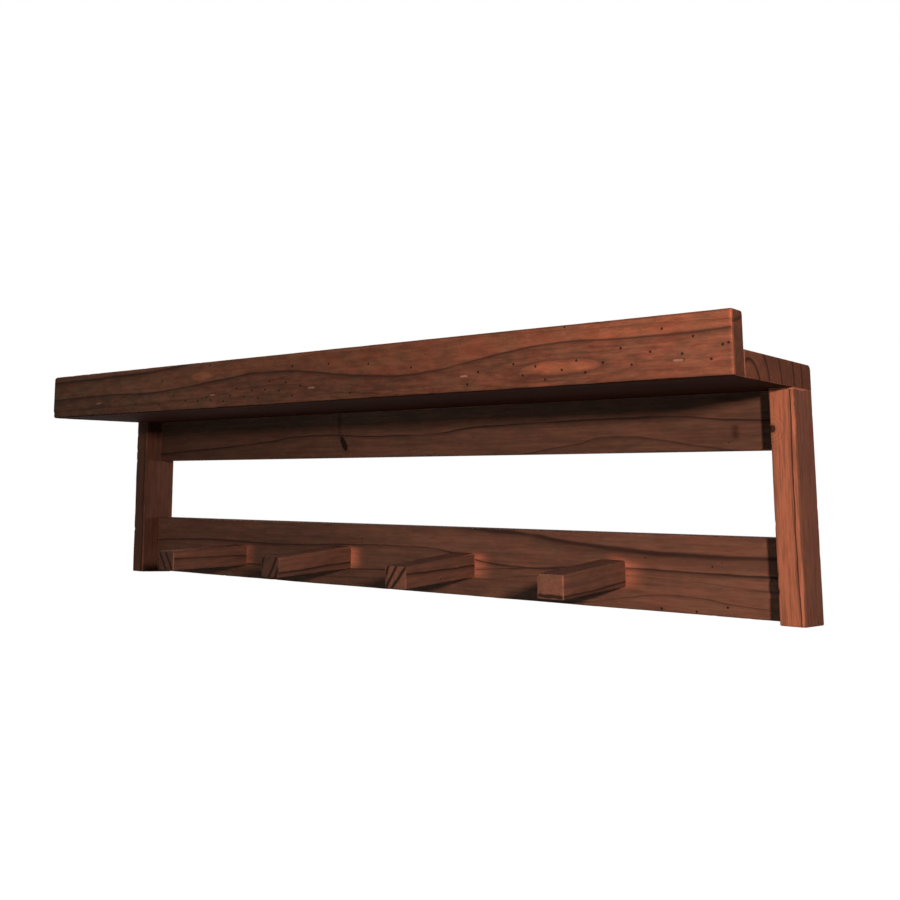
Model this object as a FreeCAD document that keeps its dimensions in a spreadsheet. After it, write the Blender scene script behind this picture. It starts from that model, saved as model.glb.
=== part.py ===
import FreeCAD, Part
import math
import os
import Sketcher

# A wooden wall shelf: a board with a raised front lip, carried by an open frame of two stiles
# and two rails, with a row of four-sided pegs in the lower rail.
# Lengths are millimetres. X runs along the shelf, to the right as seen from the room, Y points
# into the wall and Z points up. The origin is the middle of the upper rail's back face.

SIZES = [
    # boards
    ("shelf_length", 762.0),
    ("shelf_depth", 133.0),
    ("shelf_thickness", 19.0),
    ("shelf_edge_radius", 3.0),
    ("lip_height", 44.5),
    ("lip_thickness", 19.0),
    ("lip_edge_radius", 1.8),
    ("lip_end_chamfer", 1.2),
    ("stile_width", 19.0),
    ("stile_depth", 40.0),
    ("stile_foot_slope", 2.5),
    ("stile_edge_radius", 2.4),
    ("stile_inner_edge_radius", 1.2),
    ("rail_thickness", 19.0),
    ("upper_rail_height", 44.5),
    ("lower_rail_height", 60.0),
    ("frame_gap", 65.0),
    ("sanded_edge_radius", 0.8),
    ("sanded_end_chamfer", 0.7),
    # pegs
    ("peg_count", 4),
    ("peg_width", 22.5),
    ("peg_height", 21.0),
    ("peg_tip_height", 18.5),
    ("peg_length", 99.0),
    ("peg_spacing", 148.0),
    ("peg_row_shift", -1.5),
    ("peg_row_height", 28.0),
    ("peg_edge_radius", 1.0),
    ("peg_end_chamfer", 0.8),
    ("peg_tenon_width", 12.0),
    ("peg_tenon_length", 12.0),
    # stub tenons on the rails, in blind mortises in the stiles
    ("tenon_length", 12.0),
    ("tenon_thickness", 7.0),
    ("tenon_shoulder", 8.0),
    ("mortise_play", 0.1),
    # wood screws down through the shelf board
    ("screw_length", 38.0),
    ("screw_diameter", 4.2),
    ("screw_head_diameter", 8.2),
    ("screw_tip_length", 1.6),
    ("screw_tip_diameter", 2.0),
    ("shelf_screw_count", 3),
    ("shelf_screw_margin", 82.0),
    # flat wire staples, which hold the lip
    ("staple_width", 10.0),
    ("staple_length", 38.0),
    ("staple_wire_width", 1.6),
    ("staple_wire_thickness", 1.2),
    ("staple_tip_length", 2.5),
    ("staple_row_height", 12.5),
    ("staple_set_depth", 0.3),
    # keyhole hangers let into the back of the upper rail
    ("hanger_spacing", 406.4),
    ("hanger_width", 15.0),
    ("hanger_length", 36.0),
    ("hanger_thickness", 1.6),
    ("keyhole_entry_diameter", 8.5),
    ("keyhole_slot_width", 4.4),
    ("keyhole_rise", 9.0),
    ("keyhole_entry_drop", 4.5),
    ("head_pocket_depth", 8.0),
    ("head_pocket_margin", 0.8),
    ("hanger_screw_offset", 13.6),
    ("hanger_screw_length", 12.0),
    ("hanger_screw_diameter", 2.8),
    ("hanger_screw_head_diameter", 5.0),
    ("hanger_screw_tip_length", 1.1),
    ("hanger_screw_tip_diameter", 1.3),
    # clearances
    ("fastener_play", 0.05),
    ("bottom_play", 0.5),
    ("hanger_play", 0.2),
]

# Where the staples' crowns lie along the lip, from the shelf's middle, as parts of its length.
STAPLE_PLACE_SHARES = (-0.392, -0.16, 0.008, 0.22, 0.45)

# How far each peg's shoulder and tip lie below the row's height. The pegs are fitted by hand.
PEG_DROPS = ((4.5, 4.8), (0.0, 3.8), (0.5, 4.8), (0.0, 3.4))

COUNTERSINK_ANGLE = 90
TOLERANCE_SHARE = 1e-6

doc = FreeCAD.newDocument("wall_shelf")
sheet = doc.addObject("Spreadsheet::Sheet", "sizes")
for row, (alias, number) in enumerate(SIZES, 1):
    sheet.set(f"A{row}", alias)
    sheet.set(f"B{row}", str(number))
    sheet.setAlias(f"B{row}", alias)
doc.recompute()

# Sums of sheet sizes that several pieces share.
RAIL_LENGTH = "(sizes.shelf_length - 2 * sizes.stile_width)"
STILE_LENGTH = "(sizes.upper_rail_height + sizes.frame_gap + sizes.lower_rail_height)"
SHELF_UNDERSIDE = "(sizes.upper_rail_height / 2)"
LOWER_RAIL_CENTRE = "(-sizes.upper_rail_height / 2 - sizes.frame_gap - sizes.lower_rail_height / 2)"
FRAME_BOTTOM = f"({SHELF_UNDERSIDE} - {STILE_LENGTH})"
PEG_ROW = f"({FRAME_BOTTOM} + sizes.peg_row_height)"
TENON_FACE = "(-(sizes.rail_thickness + sizes.tenon_thickness) / 2)"
STAPLE_PLACES = tuple(f"(sizes.shelf_length * {share})" for share in STAPLE_PLACE_SHARES)
STAPLE_LEG_PLACES = tuple(
    f"({place} + {side} * (sizes.staple_width - sizes.staple_wire_thickness) / 2)"
    for place in STAPLE_PLACES for side in (-1, 1))
SHELF_SCREW_REACH = f"({RAIL_LENGTH} / 2 - sizes.shelf_screw_margin)"
STILE_CENTRE = "((sizes.shelf_length - sizes.stile_width) / 2)"
PEG_REACH = "(sizes.peg_spacing * (sizes.peg_count - 1) / 2)"
KEYHOLE_ENTRY_HEIGHT = "(-sizes.keyhole_entry_drop)"
KEYHOLE_SLOT_MIDDLE = f"({KEYHOLE_ENTRY_HEIGHT} + sizes.keyhole_rise / 2)"


def worth(expression):
    """The number that a sum of sheet sizes comes to."""
    return float(sheet.evalExpression(expression.replace("sizes.", "")))


def loosened(size):
    """A hole's size for a fastener of the given size."""
    return f"({size} + 2 * sizes.fastener_play)"


def row_places(reach, count):
    """Evenly spaced places from minus reach to plus reach."""
    steps = max(int(worth(count)) - 1, 1)
    return [f"({reach} * (2 * {step} / {steps} - 1))" for step in range(int(worth(count)))]


PILOT_DIAMETER = loosened("sizes.screw_diameter")
SCREW_SINK_DIAMETER = loosened("sizes.screw_head_diameter")
SHELF_SCREW_PLACES = row_places(SHELF_SCREW_REACH, "sizes.shelf_screw_count")
PEG_PLACES = [f"({place} + sizes.peg_row_shift)"
              for place in row_places(PEG_REACH, "sizes.peg_count")]


def new_body(label):
    """An empty piece with its own origin."""
    body = doc.addObject("PartDesign::Body", label)
    body.Label = label
    body.AllowCompound = True
    return body


def put(body, across="0", inward="0", up="0"):
    """Move a piece to its place in the shelf."""
    body.setExpression(".Placement.Base.x", across)
    body.setExpression(".Placement.Base.y", inward)
    body.setExpression(".Placement.Base.z", up)


def own_plane(body, role):
    """One of the three planes through the piece's own origin."""
    return next(item for item in body.Origin.OriginFeatures if item.Role == role)


def new_sketch(body, name, role, lift=None):
    """A sketch on one of the piece's own planes, lifted off it along its normal."""
    sketch = body.newObject("Sketcher::SketchObject", name)
    sketch.AttachmentSupport = [(own_plane(body, role), "")]
    sketch.MapMode = "FlatFace"
    if lift:
        sketch.setExpression(".AttachmentOffset.Base.z", lift)
    return sketch


def bind(sketch, kind, ends, expression):
    """A dimension of the sketch that follows a sum of sheet sizes."""
    index = sketch.addConstraint(Sketcher.Constraint(kind, *ends, worth(expression)))
    sketch.setExpression(f"Constraints[{index}]", expression)


def hold_point(sketch, geometry, point, across, up):
    """Hold a point of the sketch at a place measured from its origin."""
    bind(sketch, "DistanceX", (-1, 1, geometry, point), across)
    bind(sketch, "DistanceY", (-1, 1, geometry, point), up)


def draw_outline(sketch, points):
    """A closed outline of straight lines through the given points."""
    first = sketch.GeometryCount
    count = len(points)
    spots = [FreeCAD.Vector(worth(across), worth(up), 0) for across, up in points]
    for index in range(count):
        sketch.addGeometry(Part.LineSegment(spots[index], spots[(index + 1) % count]), False)
    for index in range(count):
        following = first + (index + 1) % count
        sketch.addConstraint(Sketcher.Constraint("Coincident", first + index, 2, following, 1))
    for index, (across, up) in enumerate(points):
        hold_point(sketch, first + index, 1, across, up)


def draw_rectangle(sketch, left, low, width, height):
    """A rectangle from its lower left corner."""
    right = f"({left} + {width})"
    high = f"({low} + {height})"
    draw_outline(sketch, [(left, low), (right, low), (right, high), (left, high)])


def draw_marks(sketch, places, up, width, height):
    """A rectangle round each of several places in a row."""
    for place in places:
        draw_rectangle(sketch, f"({place} - {width} / 2)", f"({up} - {height} / 2)", width, height)


def draw_circle(sketch, across, up, diameter):
    """A circle round the given centre."""
    centre = FreeCAD.Vector(worth(across), worth(up), 0)
    normal = FreeCAD.Vector(0, 0, 1)
    index = sketch.addGeometry(Part.Circle(centre, normal, worth(diameter) / 2), False)
    bind(sketch, "Diameter", (index,), diameter)
    hold_point(sketch, index, 3, across, up)


def draw_upright_slot(sketch, across, up, width, length):
    """A slot with round ends that stands upright round its middle."""
    reach = f"(({length} - {width}) / 2)"
    high = f"({up} + {reach})"
    low = f"({up} - {reach})"
    radius = worth(width) / 2
    normal = FreeCAD.Vector(0, 0, 1)
    first = sketch.GeometryCount
    for height, start in ((high, 0), (low, math.pi)):
        centre = FreeCAD.Vector(worth(across), worth(height), 0)
        circle = Part.Circle(centre, normal, radius)
        sketch.addGeometry(Part.ArcOfCircle(circle, start, start + math.pi), False)
    for side in (-1, 1):
        edge = worth(across) + side * radius
        foot = FreeCAD.Vector(edge, worth(low if side > 0 else high), 0)
        head = FreeCAD.Vector(edge, worth(high if side > 0 else low), 0)
        sketch.addGeometry(Part.LineSegment(foot, head), False)
    top_arc, bottom_arc, left_line, right_line = range(first, first + 4)
    sketch.addConstraint(Sketcher.Constraint("Tangent", top_arc, 2, left_line, 1))
    sketch.addConstraint(Sketcher.Constraint("Tangent", left_line, 2, bottom_arc, 1))
    sketch.addConstraint(Sketcher.Constraint("Tangent", bottom_arc, 2, right_line, 1))
    sketch.addConstraint(Sketcher.Constraint("Tangent", right_line, 2, top_arc, 1))
    sketch.addConstraint(Sketcher.Constraint("Equal", top_arc, bottom_arc))
    bind(sketch, "Diameter", (top_arc,), width)
    hold_point(sketch, top_arc, 3, across, high)
    hold_point(sketch, bottom_arc, 3, across, low)


def pad(body, sketch, name, length, both_ways=False, backwards=False):
    """Solid material on the sketch, on one side of it or evenly on both."""
    feature = body.newObject("PartDesign::Pad", name)
    feature.Profile = sketch
    feature.setExpression("Length", length)
    feature.Midplane = both_ways
    feature.Reversed = backwards
    doc.recompute()


def must_shrink(body, name, before):
    """Stop when a cut has taken nothing away."""
    doc.recompute()
    if body.Shape.Volume >= before * (1 - TOLERANCE_SHARE):
        raise RuntimeError(f"{name} in {body.Label} cuts nothing")


def pocket(body, sketch, name, depth, backwards=False):
    """A cut of the given depth below the sketch."""
    before = body.Shape.Volume
    feature = body.newObject("PartDesign::Pocket", name)
    feature.Profile = sketch
    feature.setExpression("Length", depth)
    feature.Reversed = backwards
    must_shrink(body, name, before)
    return feature


def drill(body, sketch, name, diameter, sink, backwards=False):
    """Countersunk holes right through at the sketch's circles."""
    before = body.Shape.Volume
    feature = body.newObject("PartDesign::Hole", name)
    feature.Profile = sketch
    doc.recompute()
    feature.Reversed = backwards
    feature.setExpression("Diameter", diameter)
    feature.DepthType = "ThroughAll"
    feature.HoleCutType = "Countersink"
    feature.setExpression("HoleCutDiameter", sink)
    feature.HoleCutCountersinkAngle = COUNTERSINK_ANGLE
    must_shrink(body, name, before)


def mirror(body, name, features, role):
    """Repeat features on the other side of one of the piece's own planes."""
    feature = body.newObject("PartDesign::Mirrored", name)
    feature.Originals = features
    feature.MirrorPlane = (own_plane(body, role), [""])
    body.Tip = feature
    doc.recompute()


def edge_names(shape, places, but=()):
    """The edges whose ends all lie at one of the given places, each a set of coordinates, and
    at none of the places to leave out."""
    left_out = edge_names(shape, but) if but else []
    reach = shape.BoundBox.DiagonalLength * TOLERANCE_SHARE
    names = []
    for number, edge in enumerate(shape.Edges, 1):
        for place in places:
            spots = [getattr(vertex, axis) for vertex in edge.Vertexes for axis in place]
            wanted = [worth(place[axis]) for vertex in edge.Vertexes for axis in place]
            if all(abs(spot - goal) < reach for spot, goal in zip(spots, wanted)):
                names.append(f"Edge{number}")
                break
    return [name for name in names if name not in left_out]


def ease(body, name, radius, places, but=()):
    """Round the edges that lie at the given places."""
    base = body.Tip
    feature = body.newObject("PartDesign::Fillet", name)
    feature.Base = (base, edge_names(base.Shape, places, but))
    feature.setExpression("Radius", radius)
    doc.recompute()


def bevel(body, name, size, places, but=()):
    """Cut the edges at the given places off flat, with the edges that run on from them."""
    base = body.Tip
    feature = body.newObject("PartDesign::Chamfer", name)
    feature.Base = (base, edge_names(base.Shape, places, but))
    feature.setExpression("Size", size)
    doc.recompute()


# shelf board
# It lies on the rail and the stiles. Its screws go down into both, and its front edge takes
# the lip's staples. Its own origin is the middle of its lower back edge.
def make_shelf_board():
    body = new_body("shelf_board")
    left = "(-sizes.shelf_length / 2)"
    right = "(sizes.shelf_length / 2)"
    outline = new_sketch(body, "board_outline", "XY_Plane")
    draw_rectangle(outline, left, "(-sizes.shelf_depth)", "sizes.shelf_length", "sizes.shelf_depth")
    pad(body, outline, "board", "sizes.shelf_thickness")
    top = "sizes.shelf_thickness"
    ease(body, "eased_back_edge", "sizes.shelf_edge_radius", [{"Y": "0", "Z": top}])
    bevel(body, "eased_end_edges", "sizes.sanded_end_chamfer",
          [{"X": left, "Z": top}, {"X": right, "Z": top}])
    screws = new_sketch(body, "screw_places", "XY_Plane", top)
    for place in SHELF_SCREW_PLACES:
        draw_circle(screws, place, "(-sizes.rail_thickness / 2)", PILOT_DIAMETER)
    for place in (f"(-{STILE_CENTRE})", STILE_CENTRE):
        draw_circle(screws, place, "(-sizes.stile_depth / 2)", PILOT_DIAMETER)
    drill(body, screws, "screw_holes", PILOT_DIAMETER, SCREW_SINK_DIAMETER)
    legs = new_sketch(body, "staple_leg_places", "XZ_Plane", "sizes.shelf_depth")
    draw_marks(legs, STAPLE_LEG_PLACES, "sizes.staple_row_height",
               loosened("sizes.staple_wire_thickness"), loosened("sizes.staple_wire_width"))
    pocket(body, legs, "staple_leg_holes",
           "sizes.staple_length + sizes.staple_set_depth - sizes.lip_thickness + sizes.bottom_play")
    put(body, up=SHELF_UNDERSIDE)


# front lip
# It stands on edge against the board's front edge and rises above the board.
# Its own origin is the middle of its lower back edge.
def make_front_lip():
    body = new_body("front_lip")
    left = "(-sizes.shelf_length / 2)"
    right = "(sizes.shelf_length / 2)"
    front = "(-sizes.lip_thickness)"
    top = "sizes.lip_height"
    section = new_sketch(body, "lip_section", "YZ_Plane")
    draw_rectangle(section, front, "0", "sizes.lip_thickness", "sizes.lip_height")
    pad(body, section, "lip", "sizes.shelf_length", both_ways=True)
    ease(body, "eased_edges", "sizes.lip_edge_radius", [
        {"Y": front, "Z": top},
        {"Y": "0", "Z": top},
        {"Y": front, "Z": "0"},
    ])
    bevel(body, "eased_end_edges", "sizes.lip_end_chamfer",
          [{"Y": front, "X": left}, {"Y": front, "X": right}])
    crowns = new_sketch(body, "staple_crown_places", "XZ_Plane", "sizes.lip_thickness")
    draw_marks(crowns, STAPLE_PLACES, "sizes.staple_row_height",
               loosened("sizes.staple_width"), loosened("sizes.staple_wire_width"))
    pocket(body, crowns, "staple_crown_seats",
           "sizes.staple_set_depth + sizes.staple_wire_thickness")
    legs = new_sketch(body, "staple_leg_places", "XZ_Plane", "sizes.lip_thickness")
    draw_marks(legs, STAPLE_LEG_PLACES, "sizes.staple_row_height",
               loosened("sizes.staple_wire_thickness"), loosened("sizes.staple_wire_width"))
    pocket(body, legs, "staple_leg_holes", "sizes.lip_thickness")
    put(body, inward="-sizes.shelf_depth", up=SHELF_UNDERSIDE)


# stiles
# Upright pieces on edge at both ends of the frame. The rails' shoulders butt against their inner
# faces, and the rails' tenons go into their mortises. Their feet slope down to the wall.
# Each one's own origin is on its back's inner edge, level with the front of its foot, and side
# is 1 for the right one and -1 for the left one.
def make_stile(label, side):
    body = new_body(label)
    outer = f"({side} * sizes.stile_width)"
    front = "(-sizes.stile_depth)"
    side_view = new_sketch(body, "stile_side_view", "YZ_Plane")
    draw_outline(side_view, [("0", "(-sizes.stile_foot_slope)"), ("0", STILE_LENGTH),
                             (front, STILE_LENGTH), (front, "0")])
    pad(body, side_view, "stile", "sizes.stile_width", backwards=side < 0)
    ease(body, "eased_outer_edge", "sizes.stile_edge_radius", [{"X": outer, "Y": front}])
    ease(body, "eased_inner_edge", "sizes.stile_inner_edge_radius", [{"X": "0", "Y": front}])
    bevel(body, "eased_foot", "sizes.sanded_end_chamfer", [{"X": outer}], but=[
        {"Y": "0"}, {"Z": STILE_LENGTH}, {"Y": f"({front} + sizes.stile_edge_radius)"}])
    mortises = new_sketch(body, "mortise_outlines", "YZ_Plane")
    rails = (("0", "sizes.lower_rail_height"),
             (f"({STILE_LENGTH} - sizes.upper_rail_height)", "sizes.upper_rail_height"))
    for foot, height in rails:
        draw_rectangle(mortises, f"({TENON_FACE} - sizes.mortise_play)",
                       f"({foot} + sizes.tenon_shoulder - sizes.mortise_play)",
                       "(sizes.tenon_thickness + 2 * sizes.mortise_play)",
                       f"({tenon_height(height)} + 2 * sizes.mortise_play)")
    depth = "sizes.tenon_length + sizes.bottom_play"
    pocket(body, mortises, "mortises", depth, backwards=side > 0)
    pilot = new_sketch(body, "screw_place", "XY_Plane", STILE_LENGTH)
    draw_circle(pilot, f"({outer} / 2)", f"({front} / 2)", PILOT_DIAMETER)
    pocket(body, pilot, "screw_hole",
           "sizes.screw_length - sizes.shelf_thickness + sizes.bottom_play")
    put(body, across=f"{side} * {RAIL_LENGTH} / 2", up=FRAME_BOTTOM)


# rails
# Both run between the stiles with their backs flat on the wall. Each one's own origin is the
# middle of its back face.
def tenon_height(height):
    """How tall the tenon of a rail of the given height is."""
    return f"({height} - 2 * sizes.tenon_shoulder)"


def make_rail(label, height):
    """A plain rail with a stub tenon at each end."""
    body = new_body(label)
    front = "(-sizes.rail_thickness)"
    top = f"({height} / 2)"
    foot = f"(-{height} / 2)"
    section = new_sketch(body, "rail_section", "YZ_Plane")
    draw_rectangle(section, front, foot, "sizes.rail_thickness", height)
    pad(body, section, "rail", RAIL_LENGTH, both_ways=True)
    gap_side = foot if label == "upper_rail" else top
    eased = [{"Y": front, "Z": gap_side}]
    if label == "lower_rail":
        eased.append({"Y": front, "Z": foot})
    ease(body, "eased_edges", "sizes.sanded_edge_radius", eased)
    tenons = new_sketch(body, "tenon_section", "YZ_Plane")
    draw_rectangle(tenons, TENON_FACE, f"({foot} + sizes.tenon_shoulder)",
                   "sizes.tenon_thickness", tenon_height(height))
    pad(body, tenons, "tenons", f"{RAIL_LENGTH} + 2 * sizes.tenon_length", both_ways=True)
    return body


def make_upper_rail():
    body = make_rail("upper_rail", "sizes.upper_rail_height")
    pilots = new_sketch(body, "screw_places", "XY_Plane", "sizes.upper_rail_height / 2")
    for place in SHELF_SCREW_PLACES:
        draw_circle(pilots, place, "(-sizes.rail_thickness / 2)", PILOT_DIAMETER)
    pocket(body, pilots, "screw_holes",
           "sizes.screw_length - sizes.shelf_thickness + sizes.bottom_play")
    # a shallow seat for each hanger plate
    across = "(sizes.hanger_spacing / 2)"
    seat = new_sketch(body, "hanger_seat", "XZ_Plane")
    draw_upright_slot(seat, across, "0", "(sizes.hanger_width + 2 * sizes.hanger_play)",
                      "(sizes.hanger_length + 2 * sizes.hanger_play)")
    seats = pocket(body, seat, "hanger_seats", "sizes.hanger_thickness", backwards=True)
    # room behind the plate for the head of the wall screw
    room = new_sketch(body, "head_pocket", "XZ_Plane")
    width = "(sizes.keyhole_entry_diameter + 2 * sizes.head_pocket_margin)"
    draw_upright_slot(room, across, KEYHOLE_SLOT_MIDDLE, width,
                      f"(sizes.keyhole_rise + {width})")
    rooms = pocket(body, room, "head_pockets",
                   "sizes.hanger_thickness + sizes.head_pocket_depth", backwards=True)
    # pilot holes for the hanger's own screws
    spots = new_sketch(body, "hanger_screw_places", "XZ_Plane")
    for side in (-1, 1):
        up = f"({side} * sizes.hanger_screw_offset)"
        draw_circle(spots, across, up, loosened("sizes.hanger_screw_diameter"))
    pilots = pocket(body, spots, "hanger_screw_holes",
                    "sizes.hanger_screw_length + sizes.bottom_play", backwards=True)
    mirror(body, "other_hanger_place", [seats, rooms, pilots], "YZ_Plane")


def make_lower_rail():
    body = make_rail("lower_rail", "sizes.lower_rail_height")
    # a square mortise in the front for each peg's tenon
    mortises = new_sketch(body, "peg_mortise_outlines", "XZ_Plane", "sizes.rail_thickness")
    width = "(sizes.peg_tenon_width + 2 * sizes.mortise_play)"
    for place, (drop, _) in zip(PEG_PLACES, PEG_DROPS):
        low = f"({PEG_ROW} - {drop} - {LOWER_RAIL_CENTRE} - {width} / 2)"
        draw_rectangle(mortises, f"({place} - {width} / 2)", low, width, width)
    pocket(body, mortises, "peg_mortises", "sizes.peg_tenon_length + sizes.bottom_play")
    put(body, up=LOWER_RAIL_CENTRE)


# pegs
# Their shoulders butt against the lower rail's front. They get a little thinner towards the tip
# and lean down. Each one's own origin is the middle of its shoulder.
def make_peg(label, across, shoulder_drop, tip_drop):
    body = new_body(label)
    front = "(-sizes.peg_length)"
    sag = f"({tip_drop} - {shoulder_drop})"
    side_view = new_sketch(body, "peg_side_view", "YZ_Plane")
    draw_outline(side_view, [
        ("0", "(-sizes.peg_height / 2)"),
        ("0", "(sizes.peg_height / 2)"),
        (front, f"(sizes.peg_tip_height / 2 - {sag})"),
        (front, f"(-sizes.peg_tip_height / 2 - {sag})"),
    ])
    pad(body, side_view, "peg", "sizes.peg_width", both_ways=True)
    sides = [{"X": "(-sizes.peg_width / 2)"}, {"X": "(sizes.peg_width / 2)"}]
    ease(body, "eased_edges", "sizes.peg_edge_radius", sides, but=[{"Y": "0"}, {"Y": front}])
    bevel(body, "eased_end", "sizes.peg_end_chamfer", [{"Y": front}])
    tenon = new_sketch(body, "tenon_section", "XZ_Plane")
    corner = "(-sizes.peg_tenon_width / 2)"
    draw_rectangle(tenon, corner, corner, "sizes.peg_tenon_width", "sizes.peg_tenon_width")
    pad(body, tenon, "tenon", "sizes.peg_tenon_length", backwards=True)
    put(body, across=across, inward="-sizes.rail_thickness", up=f"{PEG_ROW} - {shoulder_drop}")


# screws
# Each is turned round its own axis. In its own frame a group points along Z from its heads at
# zero, and the group is then turned to face its work.
def turn_pin(body, name, across, along, profile):
    """One screw whose half section is given as pairs of radius and depth."""
    sketch = new_sketch(body, f"{name}_section", "XZ_Plane", f"-({along})")
    draw_outline(sketch, [(f"({across} + {radius})", depth) for radius, depth in profile])
    start = FreeCAD.Vector(worth(across), worth(profile[0][1]), 0)
    end = FreeCAD.Vector(worth(across), worth(profile[-1][1]), 0)
    axis = sketch.addGeometry(Part.LineSegment(start, end), True)
    hold_point(sketch, axis, 1, across, profile[0][1])
    hold_point(sketch, axis, 2, across, profile[-1][1])
    feature = body.newObject("PartDesign::Revolution", name)
    feature.Profile = sketch
    feature.ReferenceAxis = (sketch, ["Axis0"])
    feature.Angle = 360
    doc.recompute()
    return feature


def pin_row(body, name, reach, count, along, profile):
    """Screws in a row along X, from minus reach to plus reach, repeated from the first one."""
    first = turn_pin(body, name, f"(-{reach})", along, profile)
    row = body.newObject("PartDesign::LinearPattern", f"{name}_row")
    row.Originals = [first]
    row.Direction = (own_plane(body, "X_Axis"), [""])
    row.setExpression("Length", f"2 * {reach}")
    row.setExpression("Occurrences", count)
    body.Tip = row
    doc.recompute()


def screw_profile(length, diameter, head_diameter, tip_length, tip_diameter):
    """A flat headed wood screw, from the middle of its head round to its blunted tip."""
    shank = f"({diameter} / 2)"
    head = f"({head_diameter} / 2)"
    return [
        ("0", "0"),
        (head, "0"),
        (shank, f"({head} - {shank})"),
        (shank, f"({length} - {tip_length})"),
        (f"({tip_diameter} / 2)", length),
        ("0", length),
    ]


WOOD_SCREW = screw_profile("sizes.screw_length", "sizes.screw_diameter",
                           "sizes.screw_head_diameter", "sizes.screw_tip_length",
                           "sizes.screw_tip_diameter")
HANGER_SCREW = screw_profile("sizes.hanger_screw_length", "sizes.hanger_screw_diameter",
                             "sizes.hanger_screw_head_diameter", "sizes.hanger_screw_tip_length",
                             "sizes.hanger_screw_tip_diameter")


def make_shelf_screws():
    body = new_body("shelf_screws")
    pin_row(body, "rail_screw", SHELF_SCREW_REACH, "sizes.shelf_screw_count",
            "(sizes.rail_thickness / 2)", WOOD_SCREW)
    pin_row(body, "stile_screw", STILE_CENTRE, "2", "(sizes.stile_depth / 2)", WOOD_SCREW)
    body.Placement.Rotation = FreeCAD.Rotation(FreeCAD.Vector(1, 0, 0), 180)
    put(body, up=f"{SHELF_UNDERSIDE} + sizes.shelf_thickness")


def make_hanger_screws():
    body = new_body("hanger_screws")
    for name, side in (("lower_screw", -1), ("upper_screw", 1)):
        pin_row(body, name, "(sizes.hanger_spacing / 2)", "2",
                f"({side} * sizes.hanger_screw_offset)", HANGER_SCREW)
    body.Placement.Rotation = FreeCAD.Rotation(FreeCAD.Vector(1, 0, 0), 90)
    put(body)


# staples
# A flat crown with a pointed leg at each end. Their own origin is on the row, in the plane of
# their crowns.
def make_lip_staples():
    body = new_body("lip_staples")
    crowns = new_sketch(body, "crown_outlines", "XZ_Plane")
    draw_marks(crowns, STAPLE_PLACES, "0", "sizes.staple_width", "sizes.staple_wire_width")
    pad(body, crowns, "crowns", "sizes.staple_wire_thickness", backwards=True)
    low = "(-sizes.staple_wire_width / 2)"
    high = "(sizes.staple_wire_width / 2)"
    neck = "(sizes.staple_length - sizes.staple_tip_length)"
    side_view = [("0", low), (neck, low), ("sizes.staple_length", "0"), (neck, high), ("0", high)]
    for number, place in enumerate(STAPLE_LEG_PLACES, 1):
        leg = new_sketch(body, f"leg_{number}_outline", "YZ_Plane", place)
        draw_outline(leg, side_view)
        pad(body, leg, f"leg_{number}", "sizes.staple_wire_thickness", both_ways=True)
    put(body, inward="-sizes.shelf_depth - sizes.lip_thickness + sizes.staple_set_depth",
        up=f"{SHELF_UNDERSIDE} + sizes.staple_row_height")


# keyhole hangers
# Steel plates with round ends. A wall screw's head goes in at the round entry and the shelf
# then drops until the screw is in the narrow slot. Each one's own origin is the middle of the
# plate's back face.
def make_hanger(label, side):
    body = new_body(label)
    outline = new_sketch(body, "plate_outline", "XZ_Plane")
    draw_upright_slot(outline, "0", "0", "sizes.hanger_width", "sizes.hanger_length")
    pad(body, outline, "plate", "sizes.hanger_thickness")
    entry = new_sketch(body, "keyhole_entry_outline", "XZ_Plane")
    draw_circle(entry, "0", KEYHOLE_ENTRY_HEIGHT, "sizes.keyhole_entry_diameter")
    pocket(body, entry, "keyhole_entry", "sizes.hanger_thickness", backwards=True)
    slot = new_sketch(body, "keyhole_slot_outline", "XZ_Plane")
    draw_upright_slot(slot, "0", KEYHOLE_SLOT_MIDDLE, "sizes.keyhole_slot_width",
                      "(sizes.keyhole_rise + sizes.keyhole_slot_width)")
    pocket(body, slot, "keyhole_slot", "sizes.hanger_thickness", backwards=True)
    screws = new_sketch(body, "screw_places", "XZ_Plane")
    diameter = loosened("sizes.hanger_screw_diameter")
    for end in (-1, 1):
        draw_circle(screws, "0", f"({end} * sizes.hanger_screw_offset)", diameter)
    drill(body, screws, "screw_holes", diameter, loosened("sizes.hanger_screw_head_diameter"),
          backwards=True)
    put(body, across=f"{side} * sizes.hanger_spacing / 2")


make_shelf_board()
make_front_lip()
make_stile("left_stile", -1)
make_stile("right_stile", 1)
make_upper_rail()
make_lower_rail()
for number, (place, drops) in enumerate(zip(PEG_PLACES, PEG_DROPS), 1):
    make_peg(f"peg_{number}", place, *drops)
make_shelf_screws()
make_lip_staples()
make_hanger("left_hanger", -1)
make_hanger("right_hanger", 1)
make_hanger_screws()
doc.recompute()

for item in doc.Objects:
    if "Invalid" in item.State or "Error" in item.State:
        raise RuntimeError(f"{item.Name} failed: {item.State}")

pieces = [item for item in doc.Objects if item.TypeId == "PartDesign::Body"]
for piece in pieces:
    if piece.Shape.isNull() or not piece.Shape.isValid():
        raise RuntimeError(f"{piece.Label} has no valid shape")

os.makedirs("parts", exist_ok=True)
for piece in pieces:
    piece.Shape.exportStep(f"parts/{piece.Label}.step")
    print(piece.Label, len(piece.Shape.Solids), "solids", round(piece.Shape.Volume), "mm3")
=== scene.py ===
import inspect
import math
import bmesh
import bpy
from mathutils import Matrix, Vector, noise


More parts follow.
